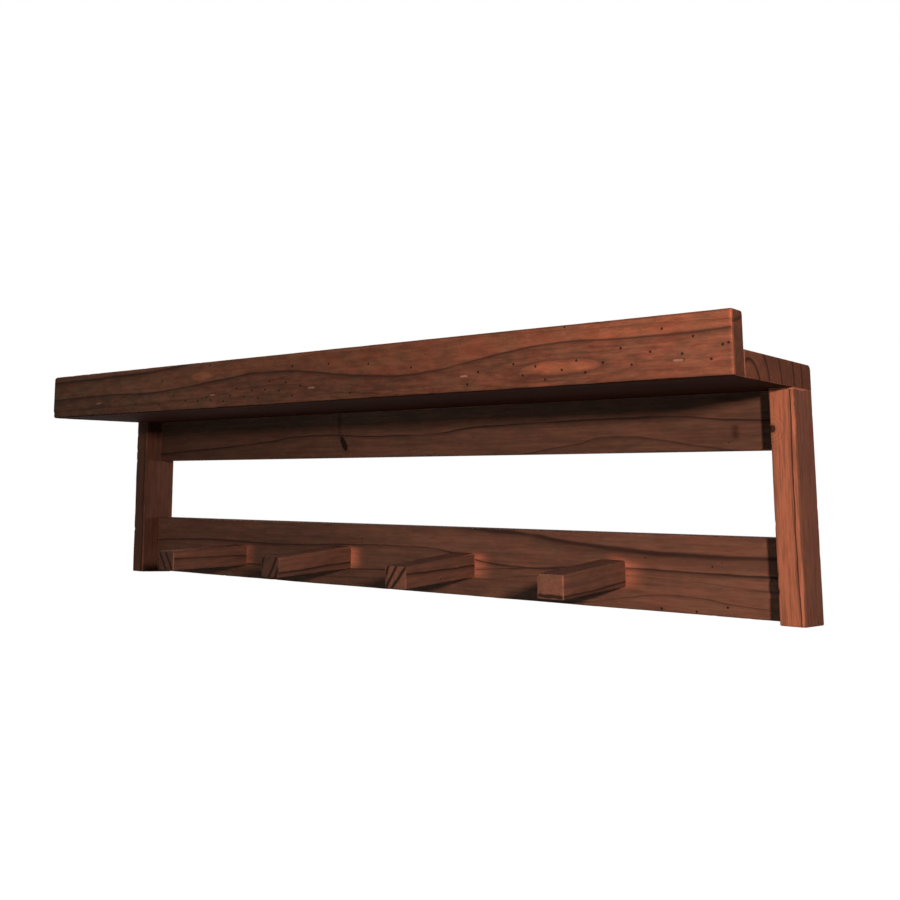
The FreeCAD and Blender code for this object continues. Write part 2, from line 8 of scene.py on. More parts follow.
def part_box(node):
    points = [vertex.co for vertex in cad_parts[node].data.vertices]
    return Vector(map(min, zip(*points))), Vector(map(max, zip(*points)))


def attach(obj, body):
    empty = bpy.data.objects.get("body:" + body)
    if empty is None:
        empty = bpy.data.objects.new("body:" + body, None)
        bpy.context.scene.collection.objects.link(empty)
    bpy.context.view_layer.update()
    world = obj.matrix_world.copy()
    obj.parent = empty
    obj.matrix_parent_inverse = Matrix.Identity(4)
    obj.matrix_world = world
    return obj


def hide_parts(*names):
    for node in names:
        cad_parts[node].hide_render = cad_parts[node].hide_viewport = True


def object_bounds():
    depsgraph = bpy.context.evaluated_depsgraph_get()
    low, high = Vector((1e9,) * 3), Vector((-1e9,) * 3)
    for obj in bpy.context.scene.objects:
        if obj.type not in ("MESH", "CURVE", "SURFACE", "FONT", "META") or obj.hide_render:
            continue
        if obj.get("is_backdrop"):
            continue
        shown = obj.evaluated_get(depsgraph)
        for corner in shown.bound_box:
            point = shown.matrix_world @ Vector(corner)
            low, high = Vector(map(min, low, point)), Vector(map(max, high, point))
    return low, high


# A wooden wall shelf. Its boards and pegs are worn, stained softwood, and its screws have a
# cross recess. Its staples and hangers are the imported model's own. Lengths are metres in the
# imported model's frame. X runs along the shelf to the right, Y into the wall and Z up.

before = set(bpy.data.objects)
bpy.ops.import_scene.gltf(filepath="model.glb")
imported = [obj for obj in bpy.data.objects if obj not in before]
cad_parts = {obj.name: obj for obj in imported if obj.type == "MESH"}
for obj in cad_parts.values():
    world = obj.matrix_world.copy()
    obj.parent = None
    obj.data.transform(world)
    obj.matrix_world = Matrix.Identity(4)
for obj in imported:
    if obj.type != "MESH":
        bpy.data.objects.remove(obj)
CAD_LOW, CAD_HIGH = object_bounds()
MM = 0.001

# joinery that the boards keep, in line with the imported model
TENON_LENGTH = 12 * MM
TENON_THICKNESS = 7 * MM
TENON_SHOULDER = 8 * MM
PEG_TENON_WIDTH = 12 * MM
PEG_HEIGHT = 21 * MM
PEG_TIP_HEIGHT = 18.5 * MM
PEG_NUMBERS = (1, 2, 3, 4)
# how far each peg's shoulder and tip lie below the row's height
PEG_DROPS = ((4.5 * MM, 4.8 * MM), (0, 3.8 * MM), (0.5 * MM, 4.8 * MM), (0, 3.4 * MM))
MORTISE_PLAY = 0.1 * MM
SPARE_DEPTH = 0.5 * MM
FASTENER_PLAY = 0.05 * MM
STAPLE_PLACE_SHARES = (-0.392, -0.16, 0.008, 0.22, 0.45)
STAPLE_WIDTH = 10 * MM
STAPLE_WIRE_WIDTH = 1.6 * MM
STAPLE_WIRE_THICKNESS = 1.2 * MM
STAPLE_SEAT_DEPTH = 1.5 * MM
FOOT_SLOPE = 2.5 * MM
SCREW_HEAD_RADIUS = 4.1 * MM
SCREW_RADIUS = 2.1 * MM
SCREW_LENGTH = 38 * MM
SCREW_TIP_RADIUS = 1.0 * MM
SCREW_TIP_LENGTH = 1.6 * MM
RAIL_SCREW_REACH = 280 * MM
HANGER_REACH = 203.2 * MM
HANGER_PLAY = 0.2 * MM
HANGER_THICKNESS = 1.6 * MM
HANGER_SCREW_HEAD_RADIUS = 2.5 * MM
HANGER_SCREW_RADIUS = 1.4 * MM
HANGER_SCREW_LENGTH = 12 * MM
HANGER_SCREW_TIP_RADIUS = 0.65 * MM
HANGER_SCREW_TIP_LENGTH = 1.1 * MM
HANGER_SCREW_OFFSET = 13.6 * MM
HANGER_SCREW_DEPTH = 12.5 * MM
HEAD_POCKET_RADIUS = 5.05 * MM
HEAD_POCKET_DEPTH = 9.6 * MM
HEAD_POCKET_TOP = 4.5 * MM
# arrises: how far each kind is rounded, and how deep it is worn
SHARP = (0.4 * MM, 0.0)
RUBBED = (0.9 * MM, 0.5 * MM)

X, Y, Z = 0, 1, 2


# meshes

def link(name, mesh):
    """A new piece that holds the mesh."""
    data = bpy.data.meshes.new(name)
    mesh.to_mesh(data)
    mesh.free()
    piece = bpy.data.objects.new(name, data)
    bpy.context.scene.collection.objects.link(piece)
    return piece


def box_mesh(low, high):
    """A plain block between two corners."""
    low, high = Vector(low), Vector(high)
    mesh = bmesh.new()
    bmesh.ops.create_cube(mesh, size=1.0)
    bmesh.ops.scale(mesh, vec=high - low, verts=mesh.verts)
    bmesh.ops.translate(mesh, vec=(low + high) / 2, verts=mesh.verts)
    return mesh


def cross_axes(grain):
    """The two axes across the grain."""
    return [axis for axis in (X, Y, Z) if axis != grain]


def long_edges(mesh, grain, reach):
    """The edges that run along the grain for at least the given length."""
    return [edge for edge in mesh.edges
            if abs(edge.verts[0].co[grain] - edge.verts[1].co[grain]) > reach]


def round_edges(mesh, edges, radius, segments):
    bmesh.ops.bevel(mesh, geom=edges, offset=radius, offset_type="OFFSET", segments=segments,
                    profile=0.5, affect="EDGES", material=-1)


def ease_arrises(mesh, low, high, grain, arrises):
    """Round each long arris. Each is named by the side it lies on of both cross axes."""
    first, second = cross_axes(grain)
    for (side_1, side_2), (radius, _) in arrises.items():
        corner_1 = (high if side_1 > 0 else low)[first]
        corner_2 = (high if side_2 > 0 else low)[second]
        edges = [edge for edge in long_edges(mesh, grain, (high - low)[grain] / 2)
                 if abs(edge.verts[0].co[first] - corner_1) < MM / 100
                 and abs(edge.verts[0].co[second] - corner_2) < MM / 100]
        round_edges(mesh, edges, radius, 4)


def slice_mesh(mesh, axis, place):
    """Cut the faces where a plane across the axis crosses them."""
    normal = Vector((0, 0, 0))
    normal[axis] = 1
    everything = mesh.verts[:] + mesh.edges[:] + mesh.faces[:]
    bmesh.ops.bisect_plane(mesh, geom=everything, plane_co=normal * place, plane_no=normal)


def ease_ends(mesh, low, high, grain, ends):
    """Take the sharp edge off the given ends."""
    for side, radius in ends.items():
        end = (high if side > 0 else low)[grain]
        rim = [edge for edge in mesh.edges
               if all(abs(vert.co[grain] - end) < MM / 100 for vert in edge.verts)
               and any(abs(face.normal[grain]) < 0.9 for face in edge.link_faces)]
        round_edges(mesh, rim, radius, 2)


def wear_down(mesh, low, high, grain, arrises, seed):
    """Rub and chip the long arrises unevenly along the grain."""
    axes = cross_axes(grain)
    reach = 2.2 * MM
    for vert in mesh.verts:
        gaps = [min(vert.co[axis] - low[axis], high[axis] - vert.co[axis]) for axis in axes]
        sides = [1 if high[axis] - vert.co[axis] < vert.co[axis] - low[axis] else -1
                 for axis in axes]
        nearness = math.exp(-((max(gaps) / reach) ** 2))
        depth = arrises[tuple(sides)][1] * nearness
        if depth < MM / 200:
            continue
        lane = seed + 7 * sides[0] + 13 * sides[1]
        along = vert.co[grain] / MM
        rub = 0.5 + 0.5 * noise.noise(Vector((along / 90, lane, 0.3)))
        ripple = 0.25 * noise.noise(Vector((along / 17, lane, 4.1)))
        chip = max(0.0, noise.noise(Vector((along / 6, lane, 9.7))) - 0.42) * 4.5
        amount = max(0.0, depth * (rub + ripple + chip))
        for axis, side in zip(axes, sides):
            vert.co[axis] -= side * amount


def worn_board(low, high, grain, arrises, ends, seed, step=3 * MM):
    """A board of the given box with eased and unevenly worn arrises."""
    mesh = box_mesh(low, high)
    ease_arrises(mesh, low, high, grain, arrises)
    for axis in cross_axes(grain):
        for margin in (4 * MM, 8 * MM):
            slice_mesh(mesh, axis, low[axis] + margin)
            slice_mesh(mesh, axis, high[axis] - margin)
    length = (high - low)[grain]
    bmesh.ops.subdivide_edges(mesh, edges=long_edges(mesh, grain, length / 2),
                              cuts=int(length / step), use_grid_fill=True)
    wear_down(mesh, low, high, grain, arrises, seed)
    ease_ends(mesh, low, high, grain, ends)
    bmesh.ops.recalc_face_normals(mesh, faces=mesh.faces)
    return mesh


def gather(meshes):
    """Several separate meshes as one."""
    whole = bmesh.new()
    for mesh in meshes:
        data = bpy.data.meshes.new("part")
        mesh.to_mesh(data)
        mesh.free()
        whole.from_mesh(data)
        bpy.data.meshes.remove(data)
    return whole


def shape_with(piece, meshes, operation="DIFFERENCE"):
    """Cut the meshes out of the piece, or join them to it."""
    tool = link("tool", gather(meshes))
    modifier = piece.modifiers.new("joinery", "BOOLEAN")
    modifier.operation = operation
    modifier.solver = "EXACT"
    modifier.object = tool
    graph = bpy.context.evaluated_depsgraph_get()
    shaped = bpy.data.meshes.new_from_object(piece.evaluated_get(graph))
    piece.modifiers.clear()
    piece.data = shaped
    bpy.data.objects.remove(tool)


def aim(mesh, axis, centre):
    """Turn what lies along Z to point along an axis from its centre."""
    turn = Vector((0, 0, 1)).rotation_difference(Vector(axis)).to_matrix()
    bmesh.ops.rotate(mesh, cent=(0, 0, 0), matrix=turn, verts=mesh.verts)
    bmesh.ops.translate(mesh, vec=centre, verts=mesh.verts)


def turned_pin(axis, points, centre):
    """A solid of revolution. Each point is a radius and a place along the axis."""
    mesh = bmesh.new()
    verts = [mesh.verts.new((radius, 0, place)) for radius, place in points]
    edges = [mesh.edges.new(pair) for pair in zip(verts, verts[1:])]
    bmesh.ops.spin(mesh, geom=verts + edges, cent=(0, 0, 0), axis=(0, 0, 1),
                   angle=math.tau, steps=32, use_merge=True)
    bmesh.ops.remove_doubles(mesh, verts=mesh.verts, dist=MM / 1000)
    aim(mesh, axis, centre)
    bmesh.ops.recalc_face_normals(mesh, faces=mesh.faces)
    return mesh


def recess_slot(axis, centre, turn, head):
    """One slot of a cross recess in a screw's head. It is narrower at its floor."""
    mesh = box_mesh((-0.6 * head, -0.14 * head, -MM), (0.6 * head, 0.14 * head, 0.5 * head))
    floor = [vert for vert in mesh.verts if vert.co.z > 0]
    bmesh.ops.scale(mesh, vec=(0.5, 0.7, 1), verts=floor)
    bmesh.ops.rotate(mesh, cent=(0, 0, 0), matrix=Matrix.Rotation(turn, 3, "Z"), verts=mesh.verts)
    aim(mesh, axis, centre)
    return mesh


def slot_mesh(centre, rise, radius, depth):
    """An upright slot with round ends that goes forward from a back face at Y zero."""
    mesh = bmesh.new()
    for side in (-1, 1):
        for inward in (-depth, MM):
            place = Matrix.Translation(centre + Vector((0, inward, side * rise / 2)))
            bmesh.ops.create_circle(mesh, cap_ends=False, segments=32, radius=radius,
                                    matrix=place @ Matrix.Rotation(math.pi / 2, 4, "X"))
    hull = bmesh.ops.convex_hull(mesh, input=mesh.verts)
    spare = [item for item in hull["geom_interior"] + hull["geom_unused"]
             if isinstance(item, bmesh.types.BMVert)]
    bmesh.ops.delete(mesh, geom=spare, context="VERTS")
    loose = [edge for edge in mesh.edges if not edge.link_faces]
    bmesh.ops.delete(mesh, geom=loose, context="EDGES")
    bmesh.ops.recalc_face_normals(mesh, faces=mesh.faces)
    return mesh


def staple_cuts(places, width, height, front, back):
    """Cuts for the staples' crowns or legs, from one depth to another."""
    low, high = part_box("lip_staples")
    up = (low.z + high.z) / 2
    half = Vector((width / 2 + FASTENER_PLAY, 0, height / 2 + FASTENER_PLAY))
    return [box_mesh(Vector((place, front, up)) - half, Vector((place, back, up)) + half)
            for place in places]


def staple_leg_cuts(front, back):
    """Cuts for both legs of every staple."""
    reach = (STAPLE_WIDTH - STAPLE_WIRE_THICKNESS) / 2
    places = [place + side * reach for place in staple_places() for side in (-1, 1)]
    return staple_cuts(places, STAPLE_WIRE_THICKNESS, STAPLE_WIRE_WIDTH, front, back)


def staple_places():
    """Where the staples lie along the lip."""
    low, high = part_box("front_lip")
    return [share * (high.x - low.x) for share in STAPLE_PLACE_SHARES]


def slope_foot(mesh, low, high, slope):
    """Let the foot of an upright slope down to the wall."""
    reach = 30 * MM
    for vert in mesh.verts:
        nearness = max(0.0, 1 - (vert.co.z - low.z) / reach)
        inward = (vert.co.y - low.y) / (high.y - low.y)
        vert.co.z -= slope * nearness * inward


def finish_piece(piece, node, material, slot="stained_pine"):
    """Dress a piece, shade it smooth up to its real corners, and let it stand for its node."""
    piece.data.materials.clear()
    piece.data.materials.append(material)
    for polygon in piece.data.polygons:
        polygon.use_smooth = True
    piece.data.set_sharp_from_angle(angle=math.radians(35))
    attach(piece, "root")
    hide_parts(node)


# shader nodes

def feed(sockets, values):
    """Join outputs to the named sockets, or set the sockets' own values."""
    for key, value in values.items():
        if isinstance(value, bpy.types.NodeSocket):
            sockets[key].id_data.links.new(value, sockets[key])
        else:
            sockets[key].default_value = value


def add(tree, kind, inputs=None, **settings):
    """The outputs of a new node, with its settings made and its inputs fed."""
    node = tree.nodes.new(f"ShaderNode{kind}")
    for name, value in settings.items():
        setattr(node, name, value)
    feed(node.inputs, inputs or {})
    return node.outputs


def after(kind, inputs, **settings):
    """The outputs of a new node in the tree that feeds it."""
    sources = [value for value in inputs.values() if isinstance(value, bpy.types.NodeSocket)]
    return add(sources[0].id_data, kind, inputs, **settings)


def maths(operation, *values):
    """A number worked out of one to three others."""
    return after("Math", dict(enumerate(values)), operation=operation)[0]


def times(first, second):
    return maths("MULTIPLY", first, second)


def highest(first, second):
    return maths("MAXIMUM", first, second)


def waver(value, noise_value, reach):
    """A value that noise pushes up and down."""
    return maths("MULTIPLY_ADD", maths("SUBTRACT", noise_value, 0.5), reach, value)


def vectors(operation, *values):
    """A place worked out of others."""
    return after("VectorMath", dict(enumerate(values)), operation=operation)[0]


def measure(operation, *places):
    """A number worked out of places."""
    return after("VectorMath", dict(enumerate(places)), operation=operation)["Value"]


def off_axis(place):
    """How far a place lies from the X axis."""
    return measure("LENGTH", vectors("MULTIPLY", place, (0, 1, 1)))


def parts(place):
    return after("SeparateXYZ", {0: place})


def joined(*numbers):
    return after("CombineXYZ", dict(enumerate(numbers)))[0]


def ramp(value, start, end, low=0.0, high=1.0):
    """A smooth step from low at start to high at end."""
    return after("MapRange", {0: value, 1: start, 2: end, 3: low, 4: high},
                 interpolation_type="SMOOTHSTEP")[0]


def mix(share, first, second, way="MIX"):
    """Two colours mixed by a share."""
    return after("Mix", {0: share, 6: first, 7: second}, data_type="RGBA", blend_type=way)[2]


def tinted(colour, tint):
    return mix(1.0, colour, tint, "MULTIPLY")


def cloud(place, stretch, detail=2.0, roughness=0.5, output=0):
    """Soft noise from 0 to 1, a feature to every unit of the place once it is stretched."""
    return after("TexNoise", {"Vector": vectors("MULTIPLY", place, stretch), "Scale": 1.0,
                              "Detail": detail, "Roughness": roughness})[output]


def drift(place, stretch, strength):
    """A push that wanders in every direction."""
    push = vectors("SUBTRACT", cloud(place, stretch, output=1), (0.5, 0.5, 0.5))
    return after("VectorMath", {0: push, 3: strength}, operation="SCALE")[0]


def use(group, **inputs):
    """A group placed where its inputs are, as its outputs."""
    named = {name.capitalize(): value for name, value in inputs.items()}
    return after("Group", named, node_tree=group)


def node_group(function):
    """Make a function a node group. Its arguments are the inputs: a place where the usual value
    is None, and otherwise a number or a colour. What it returns are the outputs."""
    tree = bpy.data.node_groups.new(function.__name__, "ShaderNodeTree")
    for name, argument in inspect.signature(function).parameters.items():
        kind = {type(None): "Vector", tuple: "Color"}.get(type(argument.default), "Float")
        socket = tree.interface.new_socket(name.capitalize(), in_out="INPUT",
                                           socket_type=f"NodeSocket{kind}")
        if argument.default is not None:
            socket.default_value = argument.default
    # the last socket of a group's input node is always an empty one
    results = function(*list(tree.nodes.new("NodeGroupInput").outputs)[:-1])
    for label in results:
        kind = "Color" if label == "Color" else "Float"
        tree.interface.new_socket(label, in_out="OUTPUT", socket_type=f"NodeSocket{kind}")
    feed(tree.nodes.new("NodeGroupOutput").inputs, results)
    return tree


@node_group
def fibres(place=None):
    """Fine streaks along the grain, which show as pores on end grain."""
    coarse = cloud(place, (20, 400, 400), 4, 0.6)
    fine = cloud(place, (45, 1300, 1300), 3, 0.65)
    total = maths("MULTIPLY_ADD", fine, 0.45, times(coarse, 0.55))
    return {"Streaks": ramp(total, 0.36, 0.64), "Pores": ramp(fine, 0.6, 0.72)}


@node_group
def growth_rings(place=None, pith=None, width=0.006, wobble=0.004):
    """Growth rings round a pith that runs along the grain: slow to darken, quick to end."""
    moved = vectors("ADD", vectors("SUBTRACT", place, pith), drift(place, (5, 24, 24), wobble))
    count = maths("DIVIDE", off_axis(moved), width)
    spacing = after("TexNoise", {"W": times(count, 0.45), "Scale": 1.0, "Detail": 0.0},
                    noise_dimensions="1D")[0]
    count = maths("ADD", count, times(spacing, 1.6))
    part = maths("FRACT", count)
    strength = after("TexWhiteNoise", {"W": maths("FLOOR", count)}, noise_dimensions="1D")[0]
    dark = maths("POWER", ramp(part, 0.3, 0.95), 2.0)
    dark = times(dark, ramp(part, 0.955, 1.0, 1.0, 0.0))
    return {"Rings": times(dark, maths("MULTIPLY_ADD", strength, 0.7, 0.3))}


@node_group
def grain_line(place=None, offset=0.0, width=0.001, seed=0.0):
    """One strong grain line: a sharp dark edge with a soft shade on one side of it."""
    seeded = vectors("ADD", place, joined(seed))
    offset = waver(offset, cloud(seeded, (32, 90, 90), 3), 2.2 * MM)
    share = maths("DIVIDE", offset, width)
    shade = maths("POWER", ramp(share, -5.0, -0.2), 2.0)
    core = times(ramp(share, -1.1, -0.1), 0.6)
    line = maths("ADD", highest(times(shade, 0.55), core), core)
    line = times(line, ramp(share, -0.1, 0.7, 1.0, 0.0))
    line = times(line, ramp(cloud(seeded, (14, 30, 30), 2), 0.25, 0.55, 0.45, 1.0))
    return {"Line": maths("MINIMUM", line, 1.0)}


@node_group
def mottle(place=None, amount=1.0):
    """Uneven stain: light and dark patches, and patches that lean to green or to pink."""
    half = times(amount, 0.5)
    reach = (maths("SUBTRACT", 0.5, half), maths("ADD", 0.5, half))
    patchy = cloud(place, (55, 170, 170), 5, 0.7)
    leaning = cloud(place, (38, 80, 80), 4, 0.7)
    return {"Light": ramp(patchy, 0.3, 0.7, *reach), "Hue": ramp(leaning, 0.36, 0.64, *reach)}


@node_group
def nearer(place=None, centre=None, nearest=1.0):
    """How near the closest dot is, with one more dot looked at."""
    away = measure("DISTANCE", place, centre)
    return {"Nearest": maths("MINIMUM", nearest, away)}


@node_group
def end_line(place=None, point=None, across=None, width=0.001):
    """A straight dark grain line over end grain, through a point."""
    away = vectors("SUBTRACT", place, point)
    away = measure("DOT_PRODUCT", away, across)
    away = waver(away, cloud(place, (1, 160, 160), 2), 1.6 * MM)
    share = maths("DIVIDE", maths("ABSOLUTE", away), width)
    return {"Line": ramp(share, 0.35, 1.0, 1.0, 0.0)}


@node_group
def end_ring(place=None, pith=None, reach=0.1):
    """One strong growth ring over end grain, soft inside and sharp outside."""
    radius = off_axis(vectors("SUBTRACT", place, pith))
    away = maths("SUBTRACT", radius, reach)
    away = waver(away, cloud(place, (1, 60, 60), 2), 3 * MM)
    rise = maths("POWER", ramp(away, -4.5 * MM, -0.7 * MM), 1.6)
    return {"Line": times(rise, ramp(away, 0.0, 0.7 * MM, 1.0, 0.0))}


@node_group
def eye(place=None, centre=None, reach=None, tilt=0.0):
    """An oval of flowing grain: its inside, and its rims that fade outwards."""
    away = vectors("SUBTRACT", place, centre)
    away = after("VectorRotate", {"Vector": away, "Angle": tilt}, rotation_type="Z_AXIS")[0]
    away = vectors("ADD", vectors("DIVIDE", away, reach), drift(place, (40, 130, 130), 0.7))
    size = measure("LENGTH", away)
    rims = 0.0
    for rim, strength in ((1.0, 1.0), (1.75, 0.7), (2.6, 0.45)):
        rise = ramp(size, rim, rim + 0.08, 0.0, strength)
        rims = highest(rims, times(rise, ramp(size, rim + 0.08, rim + 0.55, 1.0, 0.0)))
    return {"Inside": ramp(size, 0.6, 1.05, 1.0, 0.0), "Rims": rims}


@node_group
def pin_marks(place=None, size=0.1, share=0.6):
    """Small dark pin knots and worm holes, a little longer along the grain."""
    spread = vectors("MULTIPLY", place, (130, 200, 200))
    cells = after("TexVoronoi", {"Vector": spread, "Scale": 1.0}, feature="F1")
    chance = after("SeparateColor", {0: cells["Color"]})
    crowd = ramp(cloud(place, (9, 14, 14), 1), 0.4, 0.6, 0.3, 1.0)
    kept = maths("LESS_THAN", chance[0], times(share, crowd))
    size = times(size, maths("MULTIPLY_ADD", chance[1], 0.9, 0.5))
    return {"Marks": times(ramp(cells["Distance"], times(size, 0.55), size, 1.0, 0.0), kept)}


@node_group
def edge_wear(place=None, centre=None, half=None, width=0.003):
    """Where hands and cloths have rubbed the stain off the arrises of a board's box."""
    away = vectors("ABSOLUTE", vectors("SUBTRACT", place, centre))
    gaps = parts(vectors("SUBTRACT", half, away))
    least = maths("MINIMUM", gaps[0], gaps[1])
    most = highest(gaps[0], gaps[1])
    middle = highest(least, maths("MINIMUM", most, gaps[2]))
    patch = cloud(place, (28, 28, 28), 3, 0.6)
    scratch = cloud(place, (260, 260, 260), 2)
    reach = times(width, ramp(patch, 0.32, 0.68, 0.25, 1.7))
    worn = ramp(maths("DIVIDE", middle, reach), 0.45, 1.15, 1.0, 0.0)
    return {"Wear": times(worn, ramp(scratch, 0.3, 0.55, 0.55, 1.0))}


def weighed(start, *shares):
    """A number with a share of each mask added."""
    for mask, share in shares:
        start = maths("MULTIPLY_ADD", mask, share, start)
    return start


@node_group
def stain(pale=(0.36, 0.106, 0.053, 1), deep=(0.150, 0.049, 0.028, 1),
          line=(0.050, 0.019, 0.013, 1), worn=(0.46, 0.155, 0.078, 1),
          hole=(0.036, 0.015, 0.010, 1), streaks=0.0, pores=0.0, blotches=0.0, light=0.0,
          hue=0.0, rings=0.0, lines=0.0, eyes=0.0, marks=0.0, wear=0.0, ends=0.0):
    """The stained wood's colour, roughness and height from all that marks it."""
    body = weighed(0.0, (blotches, 0.34), (streaks, 0.42), (light, 0.24))
    colour = mix(body, deep, pale)
    colour = mix(times(eyes, 0.6), colour, worn)
    lean = mix(hue, (0.92, 1.06, 1.05, 1), (1.07, 0.96, 0.97, 1))
    colour = tinted(colour, lean)
    colour = tinted(colour, ramp(light, 0.0, 1.0, 0.86, 1.14))
    for mask, share, paint in ((rings, 0.5, line), (ends, 0.5, line), (lines, 0.85, line),
                               (pores, 0.3, line), (wear, 0.75, worn), (marks, 0.92, hole)):
        colour = mix(times(mask, share), colour, paint)
    return {"Color": colour,
            "Roughness": weighed(0.74, (streaks, -0.08), (wear, -0.06), (marks, 0.2)),
            "Height": weighed(0.5, (streaks, 0.16), (light, 0.35), (rings, 0.12), (lines, -0.22),
                              (pores, -0.10), (marks, -1.0))}


# For each grain axis, the axes that stand for along, across and depth.
WAYS = {X: (X, Z, Y), Y: (Y, Z, X), Z: (Z, X, Y)}


def in_metres(places):
    """Listed millimetres as metres."""
    return [place * MM for place in places]


def follow(along, points):
    """A number that follows listed points: millimetres along the grain, and a value."""
    places, values = zip(*points)
    first, last = places[0], places[-1]
    floor, ceiling = min(values) - 1, max(values) + 1
    curve_node = along.id_data.nodes.new("ShaderNodeFloatCurve")
    feed(curve_node.inputs, {1: after("MapRange", {0: along, 1: first * MM, 2: last * MM})[0]})
    curve = curve_node.mapping.curves[0]
    shares = [((place - first) / (last - first), (value - floor) / (ceiling - floor))
              for place, value in points]
    curve.points[0].location = shares[0]
    curve.points[1].location = shares[-1]
    for spot in shares[1:-1]:
        curve.points.new(*spot)
    curve_node.mapping.update()
    return after("MapRange", {0: curve_node.outputs[0], 3: floor, 4: ceiling})[0]


def nearest_of(place, centres):
    """How far off the closest of some listed dots is."""
    nearest = 1.0
    for centre in centres:
        nearest = use(nearer, place=place, centre=in_metres(centre), nearest=nearest)["Nearest"]
    return nearest


def rub_patch(place, centre, reach):
    """A patch of another tone, which fades away from its centre. It paints light and shade (bounce
    light, pools of key light, lifted shadows) and a few stain marks.
    """
    away = vectors("ABSOLUTE", vectors("SUBTRACT", place, in_metres(centre)))
    share = parts(vectors("DIVIDE", away, in_metres(reach)))
    fade = maths("POWER", ramp(share[0], 0.0, 1.0, 1.0, 0.0), 1.5)
    fade = times(fade, ramp(share[1], 0.45, 1.0, 1.0, 0.0))
    return times(fade, ramp(share[2], 0.9, 1.0, 1.0, 0.0))


def warm(strength):
    """The warm tint of painted bounce light and of painted pools of key light, and of a brightened
    corner.
    """
    return (1 + strength, 1 + 0.66 * strength, 1 + 0.54 * strength, 1)


def new_material(name):
    """A material, its node tree and its shader's inputs."""
    material = bpy.data.materials.new(name)
    material.use_nodes = True
    tree = material.node_tree
    return material, tree, tree.nodes["Principled BSDF"].inputs


